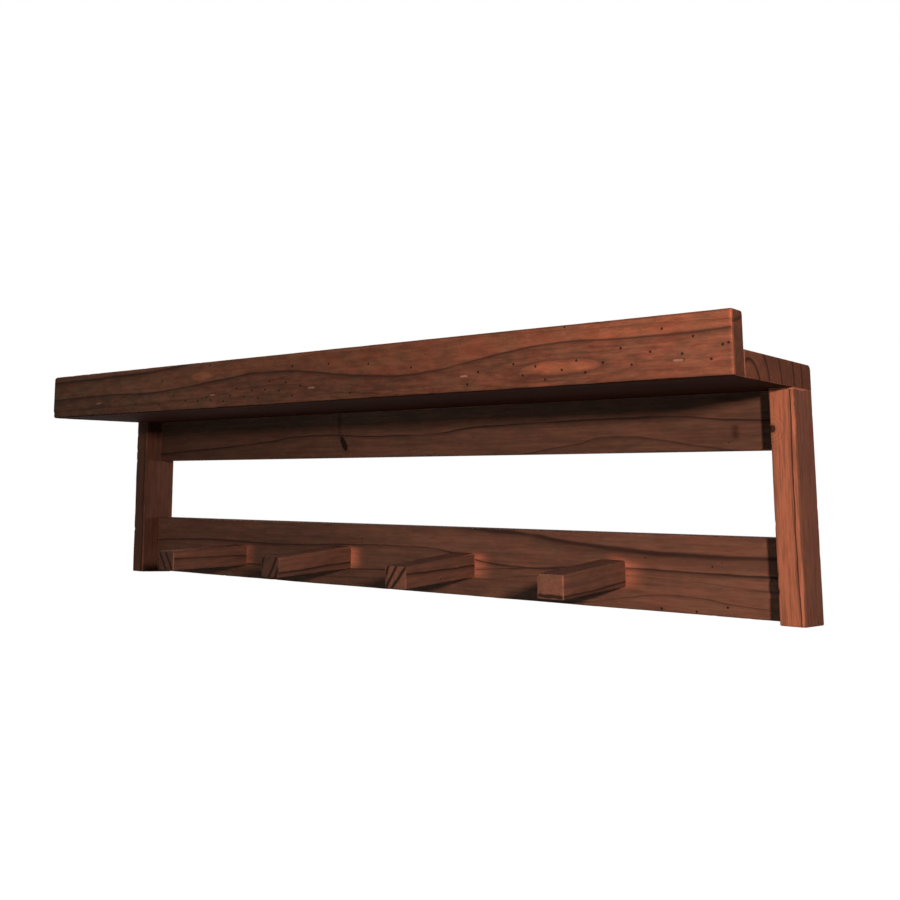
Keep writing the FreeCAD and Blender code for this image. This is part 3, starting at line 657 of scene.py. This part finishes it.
def worn_softwood(name, low, high, grain, seed, pith, ring_width=6 * MM, wobble=5 * MM,
                  rings=0.5, mottled=0.45, lines=(), paler_above=0.0, eyes=(), knots=(), dots=(),
                  drop=None, tone=1.0, underside=1.0, topside=1.0, wear=2.5 * MM, marks=0.5,
                  mark_size=0.1, end_lines=(), end_rings=(), end_shade=1.0, patches=(),
                  rubbed_front=0.0, shine=0.03, colours=None):
    """Stained and worn softwood for one board, with its own grain lines, eyes and knots."""
    material, tree, shader = new_material(name)
    spot = add(tree, "TexCoord")
    position = spot["Object"]
    if drop:
        # a leaning piece is read as if it stood level
        lift = times(follow(parts(position)[Y], drop), MM)
        position = vectors("ADD", position, joined(0, 0, lift))
    split = parts(position)
    along, across, depth = (split[axis] for axis in WAYS[grain])
    place = joined(along, across, depth)
    drifted = vectors("ADD", place, (seed * 1.7, seed * 0.9, seed * 0.4))
    fine = use(fibres, place=drifted)
    uneven = use(mottle, place=drifted, amount=mottled)
    years = use(growth_rings, place=place, pith=in_metres(pith), width=ring_width, wobble=wobble)
    blotches = ramp(cloud(drifted, (8, 34, 34), 4, 0.6), 0.32, 0.68)
    dark, pale = 0.0, 0.0
    for number, (points, width, strength) in enumerate(lines):
        offset = maths("SUBTRACT", across, times(follow(along, points), MM))
        line = use(grain_line, place=place, offset=offset, width=width * MM,
                   seed=seed + number * 0.37)["Line"]
        dark = highest(dark, times(line, strength))
        if paler_above and number == 0:
            pale = ramp(offset, -2 * MM, 3 * MM, 0.0, paler_above)
    for centre, reach, glow, rim in eyes:
        oval = use(eye, place=place, centre=in_metres(centre), reach=in_metres(reach))
        pale = highest(pale, times(oval["Inside"], glow))
        dark = highest(dark, times(oval["Rims"], rim))
    spots = use(pin_marks, place=drifted, size=mark_size, share=marks)["Marks"]
    if dots:
        spots = highest(spots, ramp(nearest_of(place, dots), 0.5 * MM, 1.3 * MM, 1.0, 0.0))
    for centre, reach, tilt in knots:
        knot = use(eye, place=place, centre=in_metres(centre), reach=in_metres(reach),
                   tilt=math.radians(tilt))
        spots = highest(spots, knot["Inside"])
        dark = highest(dark, times(knot["Rims"], 0.35))
    facing = parts(spot["Normal"])
    ends = maths("GREATER_THAN", maths("ABSOLUTE", facing[grain]), 0.7)
    across_end = 0.0
    for point, tilt in end_lines:
        turn = math.radians(tilt)
        line = use(end_line, place=place, point=in_metres((0, point[1], point[0])),
                   across=(0, math.cos(turn), math.sin(turn)), width=2 * MM)["Line"]
        across_end = highest(across_end, line)
    for reach in end_rings:
        ring = use(end_ring, place=place, pith=in_metres(pith), reach=reach * MM)["Line"]
        across_end = highest(across_end, ring)
    if end_lines or end_rings:
        dark = highest(times(across_end, ends), times(dark, maths("SUBTRACT", 1.0, ends)))
    worn = use(edge_wear, place=position, centre=(low + high) / 2, half=(high - low) / 2,
               width=wear)["Wear"]
    if rubbed_front:
        front = maths("LESS_THAN", facing[Y], -0.7)
        thin = times(front, ramp(fine["Streaks"], 0.1, 0.7, 0.45, 1.0))
        thin = times(thin, maths("SUBTRACT", 1.0, dark))
        worn = highest(worn, times(thin, rubbed_front))
    # end grain is even, where long grain is streaked
    streaks = waver(0.5, fine["Streaks"], maths("MULTIPLY_ADD", ends, -0.65, 1.0))
    stained = use(stain, streaks=streaks, pores=fine["Pores"], blotches=blotches,
                  light=uneven["Light"], hue=uneven["Hue"], rings=times(years["Rings"], rings),
                  lines=dark, eyes=pale, marks=spots, wear=worn, ends=times(ends, end_shade),
                  **(colours or {}))
    # faces that look down are painted darker: painted shade on the undersides
    level = maths("MULTIPLY_ADD", maths("LESS_THAN", facing[Z], -0.7), underside - 1.0, 1.0)
    # faces that look up can be painted darker: painted shade on tops
    level = times(level, ramp(facing[Z], 0.1, 0.6, 1.0, topside))
    # the tone along the grain; where a list of tones falls off towards the left it is partly painted
    # falloff of the key light at the right
    level = times(level, follow(along, tone) if isinstance(tone, list) else tone)
    colour = tinted(stained["Color"], level)
    # patches of painted light and painted shade, and a few stain marks
    for centre, reach, tint in patches:
        patch = rub_patch(place, centre, reach)
        colour = tinted(colour, mix(patch, (1, 1, 1, 1), tint))
    bump = after("Bump", {"Strength": 0.8, "Distance": 0.5 * MM, "Height": stained["Height"]})
    feed(shader, {"Base Color": colour, "Roughness": stained["Roughness"], "Normal": bump[0],
                  "Specular IOR Level": shine})
    return material


def zinc_plate():
    """Dull zinc plated steel with fine brush marks."""
    material, tree, shader = new_material("dull_zinc")
    place = add(tree, "TexCoord")["Object"]
    brushed = cloud(place, (3000, 3000, 220), 3, 0.6)
    cloudy = cloud(place, (300, 300, 300), 3, 0.6)
    bump = after("Bump", {"Strength": 0.3, "Distance": 0.03 * MM, "Height": brushed})
    feed(shader, {"Base Color": mix(cloudy, (0.22, 0.22, 0.215, 1), (0.40, 0.40, 0.39, 1)),
                  "Roughness": ramp(brushed, 0.2, 0.8, 0.4, 0.65), "Normal": bump[0],
                  "Metallic": 1.0})
    return material


def staple_steel():
    """Flat staple crowns with a little stain left on them."""
    material, tree, shader = new_material("stained_staple")
    place = add(tree, "TexCoord")["Object"]
    smeared = cloud(place, (900, 900, 1600), 3, 0.6)
    # the bent ends of each crown stay stained
    middles = [(middle / MM, 0, 0) for middle in staple_places()]
    nearest = nearest_of(vectors("MULTIPLY", place, (1, 0, 0)), middles)
    bare = times(ramp(nearest, 2.6 * MM, 4.2 * MM, 1.0, 0.0), ramp(smeared, 0.35, 0.65, 0.45, 1.0))
    fading = [(-299, 0.45), (-122, 0.55), (6, 0.85), (168, 1.0), (343, 1.0)]
    bare = times(bare, follow(parts(place)[X], fading))
    feed(shader, {"Base Color": mix(bare, (0.17, 0.060, 0.036, 1), (0.50, 0.185, 0.108, 1)),
                  "Roughness": ramp(smeared, 0.3, 0.7, 0.75, 0.55), "Metallic": 0.25,
                  "Specular IOR Level": 0.2})
    return material


# grain of each board, with its lines' points in millimetres along and across

LIP_WAVE = [
    (-381, 41), (-297, 42.5), (-214, 41.5), (-168, 43.4), (-137, 46.4), (-111, 48.4), (-87, 50.5),
    (-58, 52), (-32, 51.7), (0, 49), (40, 44.4), (82, 40.5), (105, 39), (131, 40.3), (161, 43.9),
    (189, 48.1), (212, 50.9), (236, 53.3), (258, 54), (285, 53.3), (323, 52.8), (381, 54)]
LIP_TOP_LINE = [(-381, 60), (-269, 61), (-200, 63), (-155, 67), (-90, 76), (381, 78)]
LIP_LOW_LINE = [
    (-381, 29), (-240, 31), (-163, 32), (-106, 35), (-80, 39), (-30, 39.5), (10, 33), (70, 27),
    (200, 20), (381, 18)]
LIP_RIGHT_EDGE_LINE = [(-381, 72), (150, 70), (220, 64), (270, 62.5), (330, 61), (381, 60)]
UPPER_RAIL_LINE = [
    (-362, -14), (-260, -9), (-181, -4), (-108, 1), (-57, -1), (22, -2), (80, 3), (144, 5),
    (217, 6), (262, 6), (324, 2), (362, 0)]
UPPER_RAIL_LOW_LINE = [
    (-362, -30), (60, -28), (130, -22), (193, -14), (226, -9), (261, -12), (293, -17), (362, -27)]
LOWER_RAIL_BAND = [
    (-362, -70), (20, -80), (89, -87), (142, -91), (191, -97), (236, -100), (279, -102), (362, -102)]
LOWER_RAIL_LEFT_LINE = [
    (-362, -112), (-256, -109), (-163, -110), (-72, -107), (0, -106), (61, -110), (100, -117),
    (144, -119), (234, -115), (279, -115), (362, -116)]
LOWER_RAIL_RIGHT_LINE = [
    (-362, -134), (-27, -129), (89, -123), (144, -119), (234, -115), (279, -115), (319, -116),
    (362, -116)]
LOWER_RAIL_FINE_LINE = [
    (-362, -142), (-27, -137), (89, -131), (150, -125), (231, -120.4), (262, -121.8), (295, -123),
    (326, -124.8), (362, -126.5)]
LOWER_RAIL_LOW_LINE = [
    (-362, -152), (120, -148), (235, -138), (267, -134), (288, -134), (314, -137), (340, -139),
    (362, -140)]
STILE_LINE = [(-147, 378.2), (-76, 377.4), (-41, 377.4), (-5, 378), (22, 378.4)]
LEFT_STILE_LINE = [(-150, -364.2), (-67, -364.5), (4, -364.9), (22, -365)]

# The lip's pin holes and the lower rail's specks, in millimetres along and up.
LIP_DOTS = [
    (-279, 31), (-236, 31), (-200, 29), (-196, 52), (-178, 37), (-160, 31), (-142, 30), (-130, 33),
    (-126, 63), (-124, 30), (-106, 28), (-97, 33), (-88, 39), (-78, 31), (-68, 36), (-60, 29),
    (-51, 36), (-45, 43), (-33, 34), (-25, 41), (-17, 29), (-17, 55), (-7, 37), (26, 54), (51, 28),
    (71, 51), (116, 45), (171, 28), (181, 37), (213, 41), (221, 32), (232, 38), (240, 28),
    (254, 34), (257, 65), (266, 40), (273, 31), (287, 37), (301, 46), (309, 34), (323, 42),
    (332, 57), (346, 39), (354, 50), (366, 34), (374, 43), (378, 44)]
LOWER_RAIL_DOTS = [(262, -144.5), (291, -145), (316, -140)]

STRONG, PLAIN, FAINT = 1.0, 0.7, 0.45
LIP_COLOURS = {"pale": (0.355, 0.106, 0.054, 1), "deep": (0.143, 0.051, 0.030, 1),
               "line": (0.080, 0.031, 0.020, 1), "worn": (0.58, 0.155, 0.068, 1)}
RAIL_COLOURS = {"pale": (0.268, 0.093, 0.051, 1), "deep": (0.120, 0.0465, 0.029, 1),
                "line": (0.034, 0.015, 0.011, 1), "worn": (0.47, 0.145, 0.072, 1),
                "hole": (0.014, 0.008, 0.006, 1)}
STILE_COLOURS = {"worn": (0.777, 0.203, 0.094, 1)}
LEFT_STILE_COLOURS = {"pale": (0.29, 0.100, 0.056, 1)}

# Each peg's grain, measured from its middle: the pith's place across and up, points along its
# side, the place across and up and the tilt in degrees of each line on its end, how rubbed its
# front is, and how dark its end grain.
PEG_GRAIN = (
    ((-24, 30), [(-118, 2.6), (-70, 1.5), (-19, 0.0)], [(-6, 0.8, 58), (2.5, 2.8, 58)], 0.0, 0.65),
    ((20, -26), [(-118, -4.7), (-70, -4.5), (-19, -4.0)],
     [(4, 0.8, -62), (-9, 5.8, -75), (9, -4.2, -62)], 0.0, 0.85),
    ((24, -22), [(-118, 3.3), (-70, 1.2), (-19, 0.0)],
     [(5, 1.8, -50), (-3, 2.8, -58), (-9, 5, -70)], 0.5, 0.5),
    ((6, 40), [(-118, -6.8), (-70, -6.8), (-19, -6.4)], [(0, -6.9, 1)], 0.45, 0.3),
)
# The shelf's end grain: how far each strong ring lies from the pith.
SHELF_RING_REACHES = (19, 37, 62, 88, 105)
SHELF_PITH = (0, 17, -124)


def finish_board(piece, node, low, high, grain, seed, **looks):
    """Give a board wood of its own, and let it stand for its node."""
    finish_piece(piece, node, worn_softwood(f"{node}_wood", low, high, grain, seed, **looks))


def shelf_screw_places():
    """The heads of the board's screws: three over the upper rail and one over each stile."""
    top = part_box("shelf_board")[1].z
    rail_low, rail_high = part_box("upper_rail")
    stile_low, stile_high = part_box("right_stile")
    stile_screw = (stile_low + stile_high) / 2
    places = [(share * RAIL_SCREW_REACH, (rail_low.y + rail_high.y) / 2) for share in (-1, 0, 1)]
    places += [(side * stile_screw.x, stile_screw.y) for side in (-1, 1)]
    return [Vector((x, y, top)) for x, y in places]


def make_shelf_board():
    low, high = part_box("shelf_board")
    arrises = {(1, 1): (3.0 * MM, 0.5 * MM), (1, -1): SHARP, (-1, 1): SHARP, (-1, -1): SHARP}
    piece = link("worn_shelf_board",
                 worn_board(low, high, X, arrises, {-1: 0.6 * MM, 1: 0.6 * MM}, 3))
    head = SCREW_HEAD_RADIUS + FASTENER_PLAY
    shank = SCREW_RADIUS + FASTENER_PLAY
    sink = [(0, MM), (head, MM), (head, 0), (shank, shank - head), (shank, low.z - high.z - MM),
            (0, low.z - high.z - MM)]
    shape_with(piece, [turned_pin((0, 0, 1), sink, place) for place in shelf_screw_places()])
    shape_with(piece, staple_leg_cuts(low.y - MM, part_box("lip_staples")[1].y + SPARE_DEPTH))
    # painted shade: the board's underside is painted darker
    finish_board(
        piece, "shelf_board", low, high, X, 1.3, pith=SHELF_PITH, ring_width=9 * MM,
        wobble=4 * MM, tone=0.88, underside=0.14, shine=0.006, wear=0.6 * MM, marks=0.35,
        end_rings=SHELF_RING_REACHES, end_shade=0.2)


def make_front_lip():
    low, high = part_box("front_lip")
    arrises = {(-1, 1): (1.8 * MM, 0.6 * MM), (1, 1): (1.8 * MM, 0.4 * MM),
               (-1, -1): (1.8 * MM, 0.6 * MM), (1, -1): SHARP}
    piece = link("worn_front_lip",
                 worn_board(low, high, X, arrises, {-1: 2.4 * MM, 1: 1.2 * MM}, 5))
    shape_with(piece, staple_cuts(staple_places(), STAPLE_WIDTH, STAPLE_WIRE_WIDTH,
                                  low.y - MM, low.y + STAPLE_SEAT_DEPTH))
    shape_with(piece, staple_leg_cuts(low.y - MM, high.y + MM))
    lines = [(LIP_WAVE, 1.5, STRONG), (LIP_TOP_LINE, 2.2, STRONG), (LIP_LOW_LINE, 1.0, FAINT),
             (LIP_RIGHT_EDGE_LINE, 0.6, FAINT)]
    front = low.y / MM
    eyes = [((252, 36, front), (34, 5.0, 30), 0.75, 0.5),
            ((-138, 53.5, front), (18, 5.5, 20), 1.3, 0.1)]
    left_end, right_end = [(end.x / MM, 44, front) for end in (low, high)]
    # painted light over the front: a warm pool of key light towards the right end and a cool painted
    # shade towards the left end; the small patch brightens the right corner
    patches = [(right_end, (3, 40, 3), warm(0.45)), (right_end, (520, 60, 2), warm(0.42)),
               (left_end, (560, 60, 2), (0.97, 1.15, 1.21, 1))]
    # painted light: the lip's tones fall off towards the left as painted falloff of the key light,
    # and its underside and top are painted darker as painted shade
    finish_board(
        piece, "front_lip", low, high, X, 2.1, pith=(0, 150, -163), ring_width=8 * MM, rings=0.25,
        mottled=0.9, lines=lines, paler_above=0.4, eyes=eyes,
        dots=[(x, z, front) for x, z in LIP_DOTS], patches=patches,
        tone=[(-381, 0.68), (-250, 0.78), (-100, 0.81), (60, 0.77), (250, 0.85), (381, 0.89)],
        underside=0.18, topside=0.5, shine=0.006, wear=0.5 * MM, marks=0.35, mark_size=0.08,
        end_rings=(93,), end_shade=0.85, colours=LIP_COLOURS)


def tenon_box(rail, places, play=0.0):
    """A rail's tenon between two places on X, or its mortise with some play."""
    low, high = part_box(rail)
    middle = (low.y + high.y) / 2
    half = TENON_THICKNESS / 2 + play
    inset = TENON_SHOULDER - play
    return box_mesh((min(places), middle - half, low.z + inset),
                    (max(places), middle + half, high.z - inset))


def peg_tenon_box(number, front, back, play=0.0):
    """A peg's tenon, or its mortise with some play."""
    low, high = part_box(f"peg_{number}")
    across = (low.x + high.x) / 2
    up = peg_row_height() - PEG_DROPS[number - 1][0]
    half = PEG_TENON_WIDTH / 2 + play
    return box_mesh((across - half, front, up - half), (across + half, back, up + half))


def make_stile(node, side, seed, **looks):
    low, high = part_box(node)
    low.z += FOOT_SLOPE
    arrises = {(side, -1): (2.4 * MM, 0.7 * MM), (-side, -1): (1.2 * MM, 0.6 * MM),
               (side, 1): (0.5 * MM, 0.2 * MM), (-side, 1): SHARP}
    mesh = worn_board(low, high, Z, arrises, {-1: 0.9 * MM}, 8 + side)
    slope_foot(mesh, low, high, FOOT_SLOPE)
    piece = link(f"worn_{node}", mesh)
    inner = low.x if side > 0 else high.x
    reach = (inner - side * MM, inner + side * (TENON_LENGTH + SPARE_DEPTH))
    shape_with(piece, [tenon_box(rail, reach, MORTISE_PLAY)
                       for rail in ("upper_rail", "lower_rail")])
    finish_board(piece, node, *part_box(node), Z, seed, ring_width=5 * MM, wobble=3 * MM,
                 rings=0.3, **looks)


def make_stiles():
    make_stile("right_stile", 1, 4.4, pith=(0, 372, 60), lines=[(STILE_LINE, 0.8, STRONG)],
               knots=[((-7.0, 363.6, -40), (3.6, 3.2, 3), 0)], tone=1.03, wear=1.3 * MM,
               marks=0.2, rubbed_front=0.85, colours=STILE_COLOURS)
    make_stile("left_stile", -1, 5.9, pith=(0, -330, 20), lines=[(LEFT_STILE_LINE, 0.8, STRONG)],
               tone=0.66, wear=0.9 * MM, marks=0.3, colours=LEFT_STILE_COLOURS)


def make_rail(node, seed, top=RUBBED):
    """A rail with its tenons, before its own holes."""
    low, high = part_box(node)
    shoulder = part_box("right_stile")[0].x
    tenons = [tenon_box(node, (side * (shoulder - MM), side * high.x)) for side in (1, -1)]
    low.x, high.x = -shoulder, shoulder
    arrises = {(-1, -1): RUBBED, (-1, 1): top, (1, 1): SHARP, (1, -1): SHARP}
    piece = link(f"worn_{node}", worn_board(low, high, X, arrises, {}, seed))
    shape_with(piece, tenons, "UNION")
    return piece, low, high


def hanger_screw_places():
    """The heads of the hangers' screws."""
    return [Vector((side * HANGER_REACH, 0, end * HANGER_SCREW_OFFSET))
            for side in (-1, 1) for end in (-1, 1)]


def make_upper_rail():
    piece, low, high = make_rail("upper_rail", 11, top=(0.3 * MM, 0.0))
    plate_low, plate_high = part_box("right_hanger")
    width = plate_high.x - plate_low.x
    rise = plate_high.z - plate_low.z - width
    centres = [Vector((side * HANGER_REACH, 0, 0)) for side in (-1, 1)]
    shape_with(piece, [slot_mesh(centre, rise, width / 2 + HANGER_PLAY, HANGER_THICKNESS)
                       for centre in centres])
    radius = HANGER_SCREW_RADIUS + FASTENER_PLAY
    hole = [(0, MM), (radius, MM), (radius, -HANGER_SCREW_DEPTH), (0, -HANGER_SCREW_DEPTH)]
    pockets = [slot_mesh(centre, 2 * HEAD_POCKET_TOP, HEAD_POCKET_RADIUS, HEAD_POCKET_DEPTH)
               for centre in centres]
    shape_with(piece, pockets + [turned_pin((0, 1, 0), hole, place)
                                 for place in hanger_screw_places()])
    front = low.y / MM
    # painted light: a lift of the shelf's cast shadow along the top of the front and a lift of the
    # right stile's cast shadow at the right end; the two dark patches are a streak and a smudge in
    # the wood
    patches = [((-60, high.z / MM, front), (460, 13, 2), (1.2, 1.3, 1.35, 1)),
               ((-81, 12, front), (5, 13, 2), (0.55, 0.58, 0.58, 1)),
               ((328, -8, front), (6, 7, 2), (0.5, 0.45, 0.45, 1)),
               ((352.5, 0, front), (8, 60, 2), (1.6, 1.5, 1.4, 1))]
    # painted light: the upper rail's tones fall off towards the left as painted falloff of the key
    # light
    finish_board(
        piece, "upper_rail", low, high, X, 3.2, pith=(0, 90, 10), ring_width=8 * MM, rings=0.35,
        lines=[(UPPER_RAIL_LINE, 1.2, STRONG), (UPPER_RAIL_LOW_LINE, 1.0, PLAIN)],
        knots=[((-75, -9.2, front), (4.3, 10.5, 6), -28)],
        tone=[(-362, 0.62), (-200, 0.74), (0, 0.98), (220, 0.96), (362, 0.88)], wear=0.6 * MM,
        marks=0.25, patches=patches, colours=RAIL_COLOURS)


def make_lower_rail():
    piece, low, high = make_rail("lower_rail", 17)
    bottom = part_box("peg_1")[1].y + SPARE_DEPTH
    shape_with(piece, [peg_tenon_box(number, low.y - MM, bottom, MORTISE_PLAY)
                       for number in PEG_NUMBERS])
    patches = []
    front = low.y / MM
    # painted bounce light: a warm glow on the rail beside each peg's lit side
    for number, (reach, glow) in enumerate(((20, 1.5), (22, 2.7), (25, 2.3), (24, 1.5)), 1):
        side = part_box(f"peg_{number}")[1].x / MM
        up = (peg_row_height() - PEG_DROPS[number - 1][0]) / MM
        patches.append(((side, up, front), (reach, 14, 2), warm(glow)))
    # painted light: bounce light above the last peg, a pool of key light over the right, and a lift
    # of the right stile's cast shadow
    patches += [((side - 8, up + 11, front), (16, 7, 2), warm(0.5)),
                ((high.x / MM, up, front), (420, 60, 2), warm(0.25)),
                ((352.5, up, front), (8, 60, 2), (1.6, 1.5, 1.4, 1))]
    lines = [(LOWER_RAIL_BAND, 3.4, STRONG), (LOWER_RAIL_LEFT_LINE, 1.2, STRONG),
             (LOWER_RAIL_RIGHT_LINE, 1.0, STRONG), (LOWER_RAIL_FINE_LINE, 0.7, FAINT),
             (LOWER_RAIL_LOW_LINE, 0.9, PLAIN)]
    finish_board(
        piece, "lower_rail", low, high, X, 6.6, pith=(0, -230, 20), ring_width=8 * MM, rings=0.35,
        lines=lines, dots=[(x, z, front) for x, z in LOWER_RAIL_DOTS],
        tone=[(-362, 0.95), (-100, 1.02), (100, 1.14), (362, 1.04)], wear=0.5 * MM,
        marks=0.3, patches=patches, colours=RAIL_COLOURS)


def lean_peg(mesh, number, shoulder, tip):
    """Make a level peg thinner towards its tip, and let it lean down."""
    row = peg_row_height()
    shoulder_drop, tip_drop = PEG_DROPS[number - 1]
    for vert in mesh.verts:
        share = (vert.co.y - shoulder) / (tip - shoulder)
        height = PEG_HEIGHT + share * (PEG_TIP_HEIGHT - PEG_HEIGHT)
        drop = shoulder_drop + share * (tip_drop - shoulder_drop)
        vert.co.z = row - drop + (vert.co.z - row) * height / PEG_HEIGHT


def make_peg(number):
    node = f"peg_{number}"
    low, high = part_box(node)
    rail_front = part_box("lower_rail")[0].y
    row = peg_row_height()
    straight_low = Vector((low.x, low.y, row - PEG_HEIGHT / 2))
    straight_high = Vector((high.x, rail_front, row + PEG_HEIGHT / 2))
    arrises = {pair: (1.0 * MM, 0.3 * MM) for pair in ((-1, -1), (-1, 1), (1, -1), (1, 1))}
    mesh = worn_board(straight_low, straight_high, Y, arrises, {-1: 0.8 * MM}, 20 + number, 2 * MM)
    lean_peg(mesh, number, rail_front, low.y)
    piece = link(f"worn_{node}", mesh)
    shape_with(piece, [peg_tenon_box(number, rail_front - MM, high.y)], "UNION")
    finish_piece(piece, node, peg_wood(number, straight_low, straight_high, row))


def peg_row_height():
    """The height of the peg row. The second peg's shoulder isn't dropped."""
    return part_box("peg_2")[1].z - PEG_HEIGHT / 2


def peg_wood(number, low, high, row):
    """Each peg has its own strong grain line along its sides and across its end."""
    pith_place, side, end_lines, rubbed, shade = PEG_GRAIN[number - 1]
    middle, row = (low.x + high.x) / 2 / MM, row / MM
    points = [(place, row + rise) for place, rise in side]
    shoulder_drop, tip_drop = PEG_DROPS[number - 1]
    drop = [(low.y / MM, tip_drop / MM), (high.y / MM, shoulder_drop / MM)]
    return worn_softwood(
        f"peg_{number}_wood", low, high, Y, 7.0 + number * 1.1,
        pith=(0, row + pith_place[1], middle + pith_place[0]), ring_width=5.5 * MM,
        wobble=2 * MM, rings=0.4, lines=[(points, 1.4, STRONG)], drop=drop, tone=1.2,
        shine=0.008, wear=0.7 * MM, marks=0.15, rubbed_front=rubbed,
        end_lines=[((middle + across, row + up), tilt) for across, up, tilt in end_lines],
        end_shade=shade, colours=RAIL_COLOURS)


def make_screws(node, places, axis, zinc, head, shank, length, tip, tip_length):
    """Flat headed screws with a cross recess, each turned a little further than the last."""
    section = [(0, 0), (head, 0), (shank, head - shank), (shank, length - tip_length),
               (tip, length), (0, length)]
    piece = link(f"recessed_{node}", gather([turned_pin(axis, section, place) for place in places]))
    for quarter in (0, math.pi / 2):
        slots = [recess_slot(axis, place, 0.3 + 0.8 * number + quarter, head)
                 for number, place in enumerate(places)]
        shape_with(piece, slots)
    finish_piece(piece, node, zinc, "zinc_steel")


def make_fasteners():
    """The screws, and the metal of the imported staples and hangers."""
    zinc = zinc_plate()
    make_screws("shelf_screws", shelf_screw_places(), (0, 0, -1), zinc,
                SCREW_HEAD_RADIUS, SCREW_RADIUS, SCREW_LENGTH, SCREW_TIP_RADIUS, SCREW_TIP_LENGTH)
    make_screws("hanger_screws", hanger_screw_places(), (0, -1, 0), zinc,
                HANGER_SCREW_HEAD_RADIUS, HANGER_SCREW_RADIUS, HANGER_SCREW_LENGTH,
                HANGER_SCREW_TIP_RADIUS, HANGER_SCREW_TIP_LENGTH)
    metals = {"left_hanger": zinc, "right_hanger": zinc, "lip_staples": staple_steel()}
    for node, metal in metals.items():
        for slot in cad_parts[node].material_slots:
            slot.link = "OBJECT"
            slot.material = metal


# studio

FLOOR_DROP = 0.62
FLOOR_SIZE = 9.0
CAMERA_PLACE = Vector((0.6369, -0.8102, -0.0433))
CAMERA_YAW, CAMERA_PITCH, CAMERA_ROLL = 0.6712, 0.1432, -0.0010
LENS = 42.16
SHIFT = (0.0456, -0.1368)


def seen(tree):
    """One for rays that show the background: from the camera, or by gloss or glass."""
    path = add(tree, "LightPath")
    return highest(highest(path["Is Camera Ray"], path["Is Glossy Ray"]),
                   path["Is Transmission Ray"])


def make_floor():
    """A plain pale floor that takes the shelf's shadow."""
    mesh = bmesh.new()
    bmesh.ops.create_grid(mesh, x_segments=1, y_segments=1, size=FLOOR_SIZE / 2)
    bmesh.ops.translate(mesh, vec=(0, 0, CAD_LOW.z - FLOOR_DROP), verts=mesh.verts)
    floor = link("floor", mesh)
    material, tree, _ = new_material("pale_floor")
    tree.nodes.remove(tree.nodes["Principled BSDF"])
    pale = add(tree, "BsdfDiffuse", {"Color": (0.8, 0.8, 0.8, 1)})
    place = add(tree, "TexCoord")["Object"]
    away = measure("LENGTH", vectors("MULTIPLY", place, (1, 1, 0)))
    glow = add(tree, "Emission", {"Color": (1, 1, 1, 1), "Strength": ramp(away, 0.4, 1.2, 0.8, 1.0)})
    bright = add(tree, "AddShader", {0: pale[0], 1: glow[0]})
    quiet = add(tree, "BsdfDiffuse", {"Color": (0.04, 0.04, 0.04, 1)})
    both = add(tree, "MixShader", {0: seen(tree), 1: quiet[0], 2: bright[0]})
    feed(tree.nodes["Material Output"].inputs, {"Surface": both[0]})
    floor.data.materials.append(material)
    floor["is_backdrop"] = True


def make_world():
    """White where it is seen, and a faint cool light on the shelf."""
    world = bpy.data.worlds.new("studio")
    bpy.context.scene.world = world
    world.use_nodes = True
    tree = world.node_tree
    shown = mix(seen(tree), (0.034, 0.096, 0.160, 1), (1, 1, 1, 1))
    feed(tree.nodes["Background"].inputs, {"Color": shown, "Strength": 1.0})


def add_lamp(name, place, target, size, power, colour=(1, 1, 1)):
    """A square soft lamp that faces a point."""
    data = bpy.data.lights.new(name, "AREA")
    data.shape = "SQUARE"
    data.size = size
    data.energy = power
    data.color = colour
    lamp = bpy.data.objects.new(name, data)
    turn = (target - Vector(place)).to_track_quat("-Z", "Y")
    lamp.matrix_world = Matrix.Translation(place) @ turn.to_matrix().to_4x4()
    bpy.context.scene.collection.objects.link(lamp)


def light_shelf():
    """A key lamp at the right in front, a faint one before it, and soft ones round about."""
    middle = (CAD_LOW + CAD_HIGH) / 2
    add_lamp("key", (0.92, -0.83, 0.115), middle, 0.07, 7.4, (1.0, 0.99, 0.97))
    add_lamp("fill", (-0.2, -1.6, -0.15), middle, 0.4, 2.0, (0.62, 0.95, 1.0))
    add_lamp("top", (0.0, -0.02, 1.2), middle, 0.25, 9.0)
    add_lamp("back", (0.1, 1.5, -0.055), Vector((0, 0, -0.055)), 0.25, 12.0)
    add_lamp("left", (-1.4, 0.15, 0.5), middle, 0.4, 9.0)


def make_camera():
    """The camera at the photograph's place."""
    data = bpy.data.cameras.new("camera")
    data.sensor_width = 36.0
    data.lens = LENS
    data.shift_x, data.shift_y = SHIFT
    data.clip_start = 0.01
    camera = bpy.data.objects.new("camera", data)
    ahead = Vector((-math.sin(CAMERA_YAW) * math.cos(CAMERA_PITCH),
                    math.cos(CAMERA_YAW) * math.cos(CAMERA_PITCH), math.sin(CAMERA_PITCH)))
    right = Vector((math.cos(CAMERA_YAW), math.sin(CAMERA_YAW), 0))
    up = right.cross(ahead)
    turn = Matrix((right, up, -ahead)).transposed() @ Matrix.Rotation(CAMERA_ROLL, 3, "Z")
    camera.matrix_world = Matrix.Translation(CAMERA_PLACE) @ turn.to_4x4()
    bpy.context.scene.collection.objects.link(camera)
    bpy.context.scene.camera = camera


make_shelf_board()
make_front_lip()
make_stiles()
make_upper_rail()
make_lower_rail()
for peg_number in PEG_NUMBERS:
    make_peg(peg_number)
make_fasteners()
make_floor()
make_world()
light_shelf()
make_camera()
bpy.context.scene.view_settings.view_transform = "Standard"

shown_low, shown_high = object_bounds()
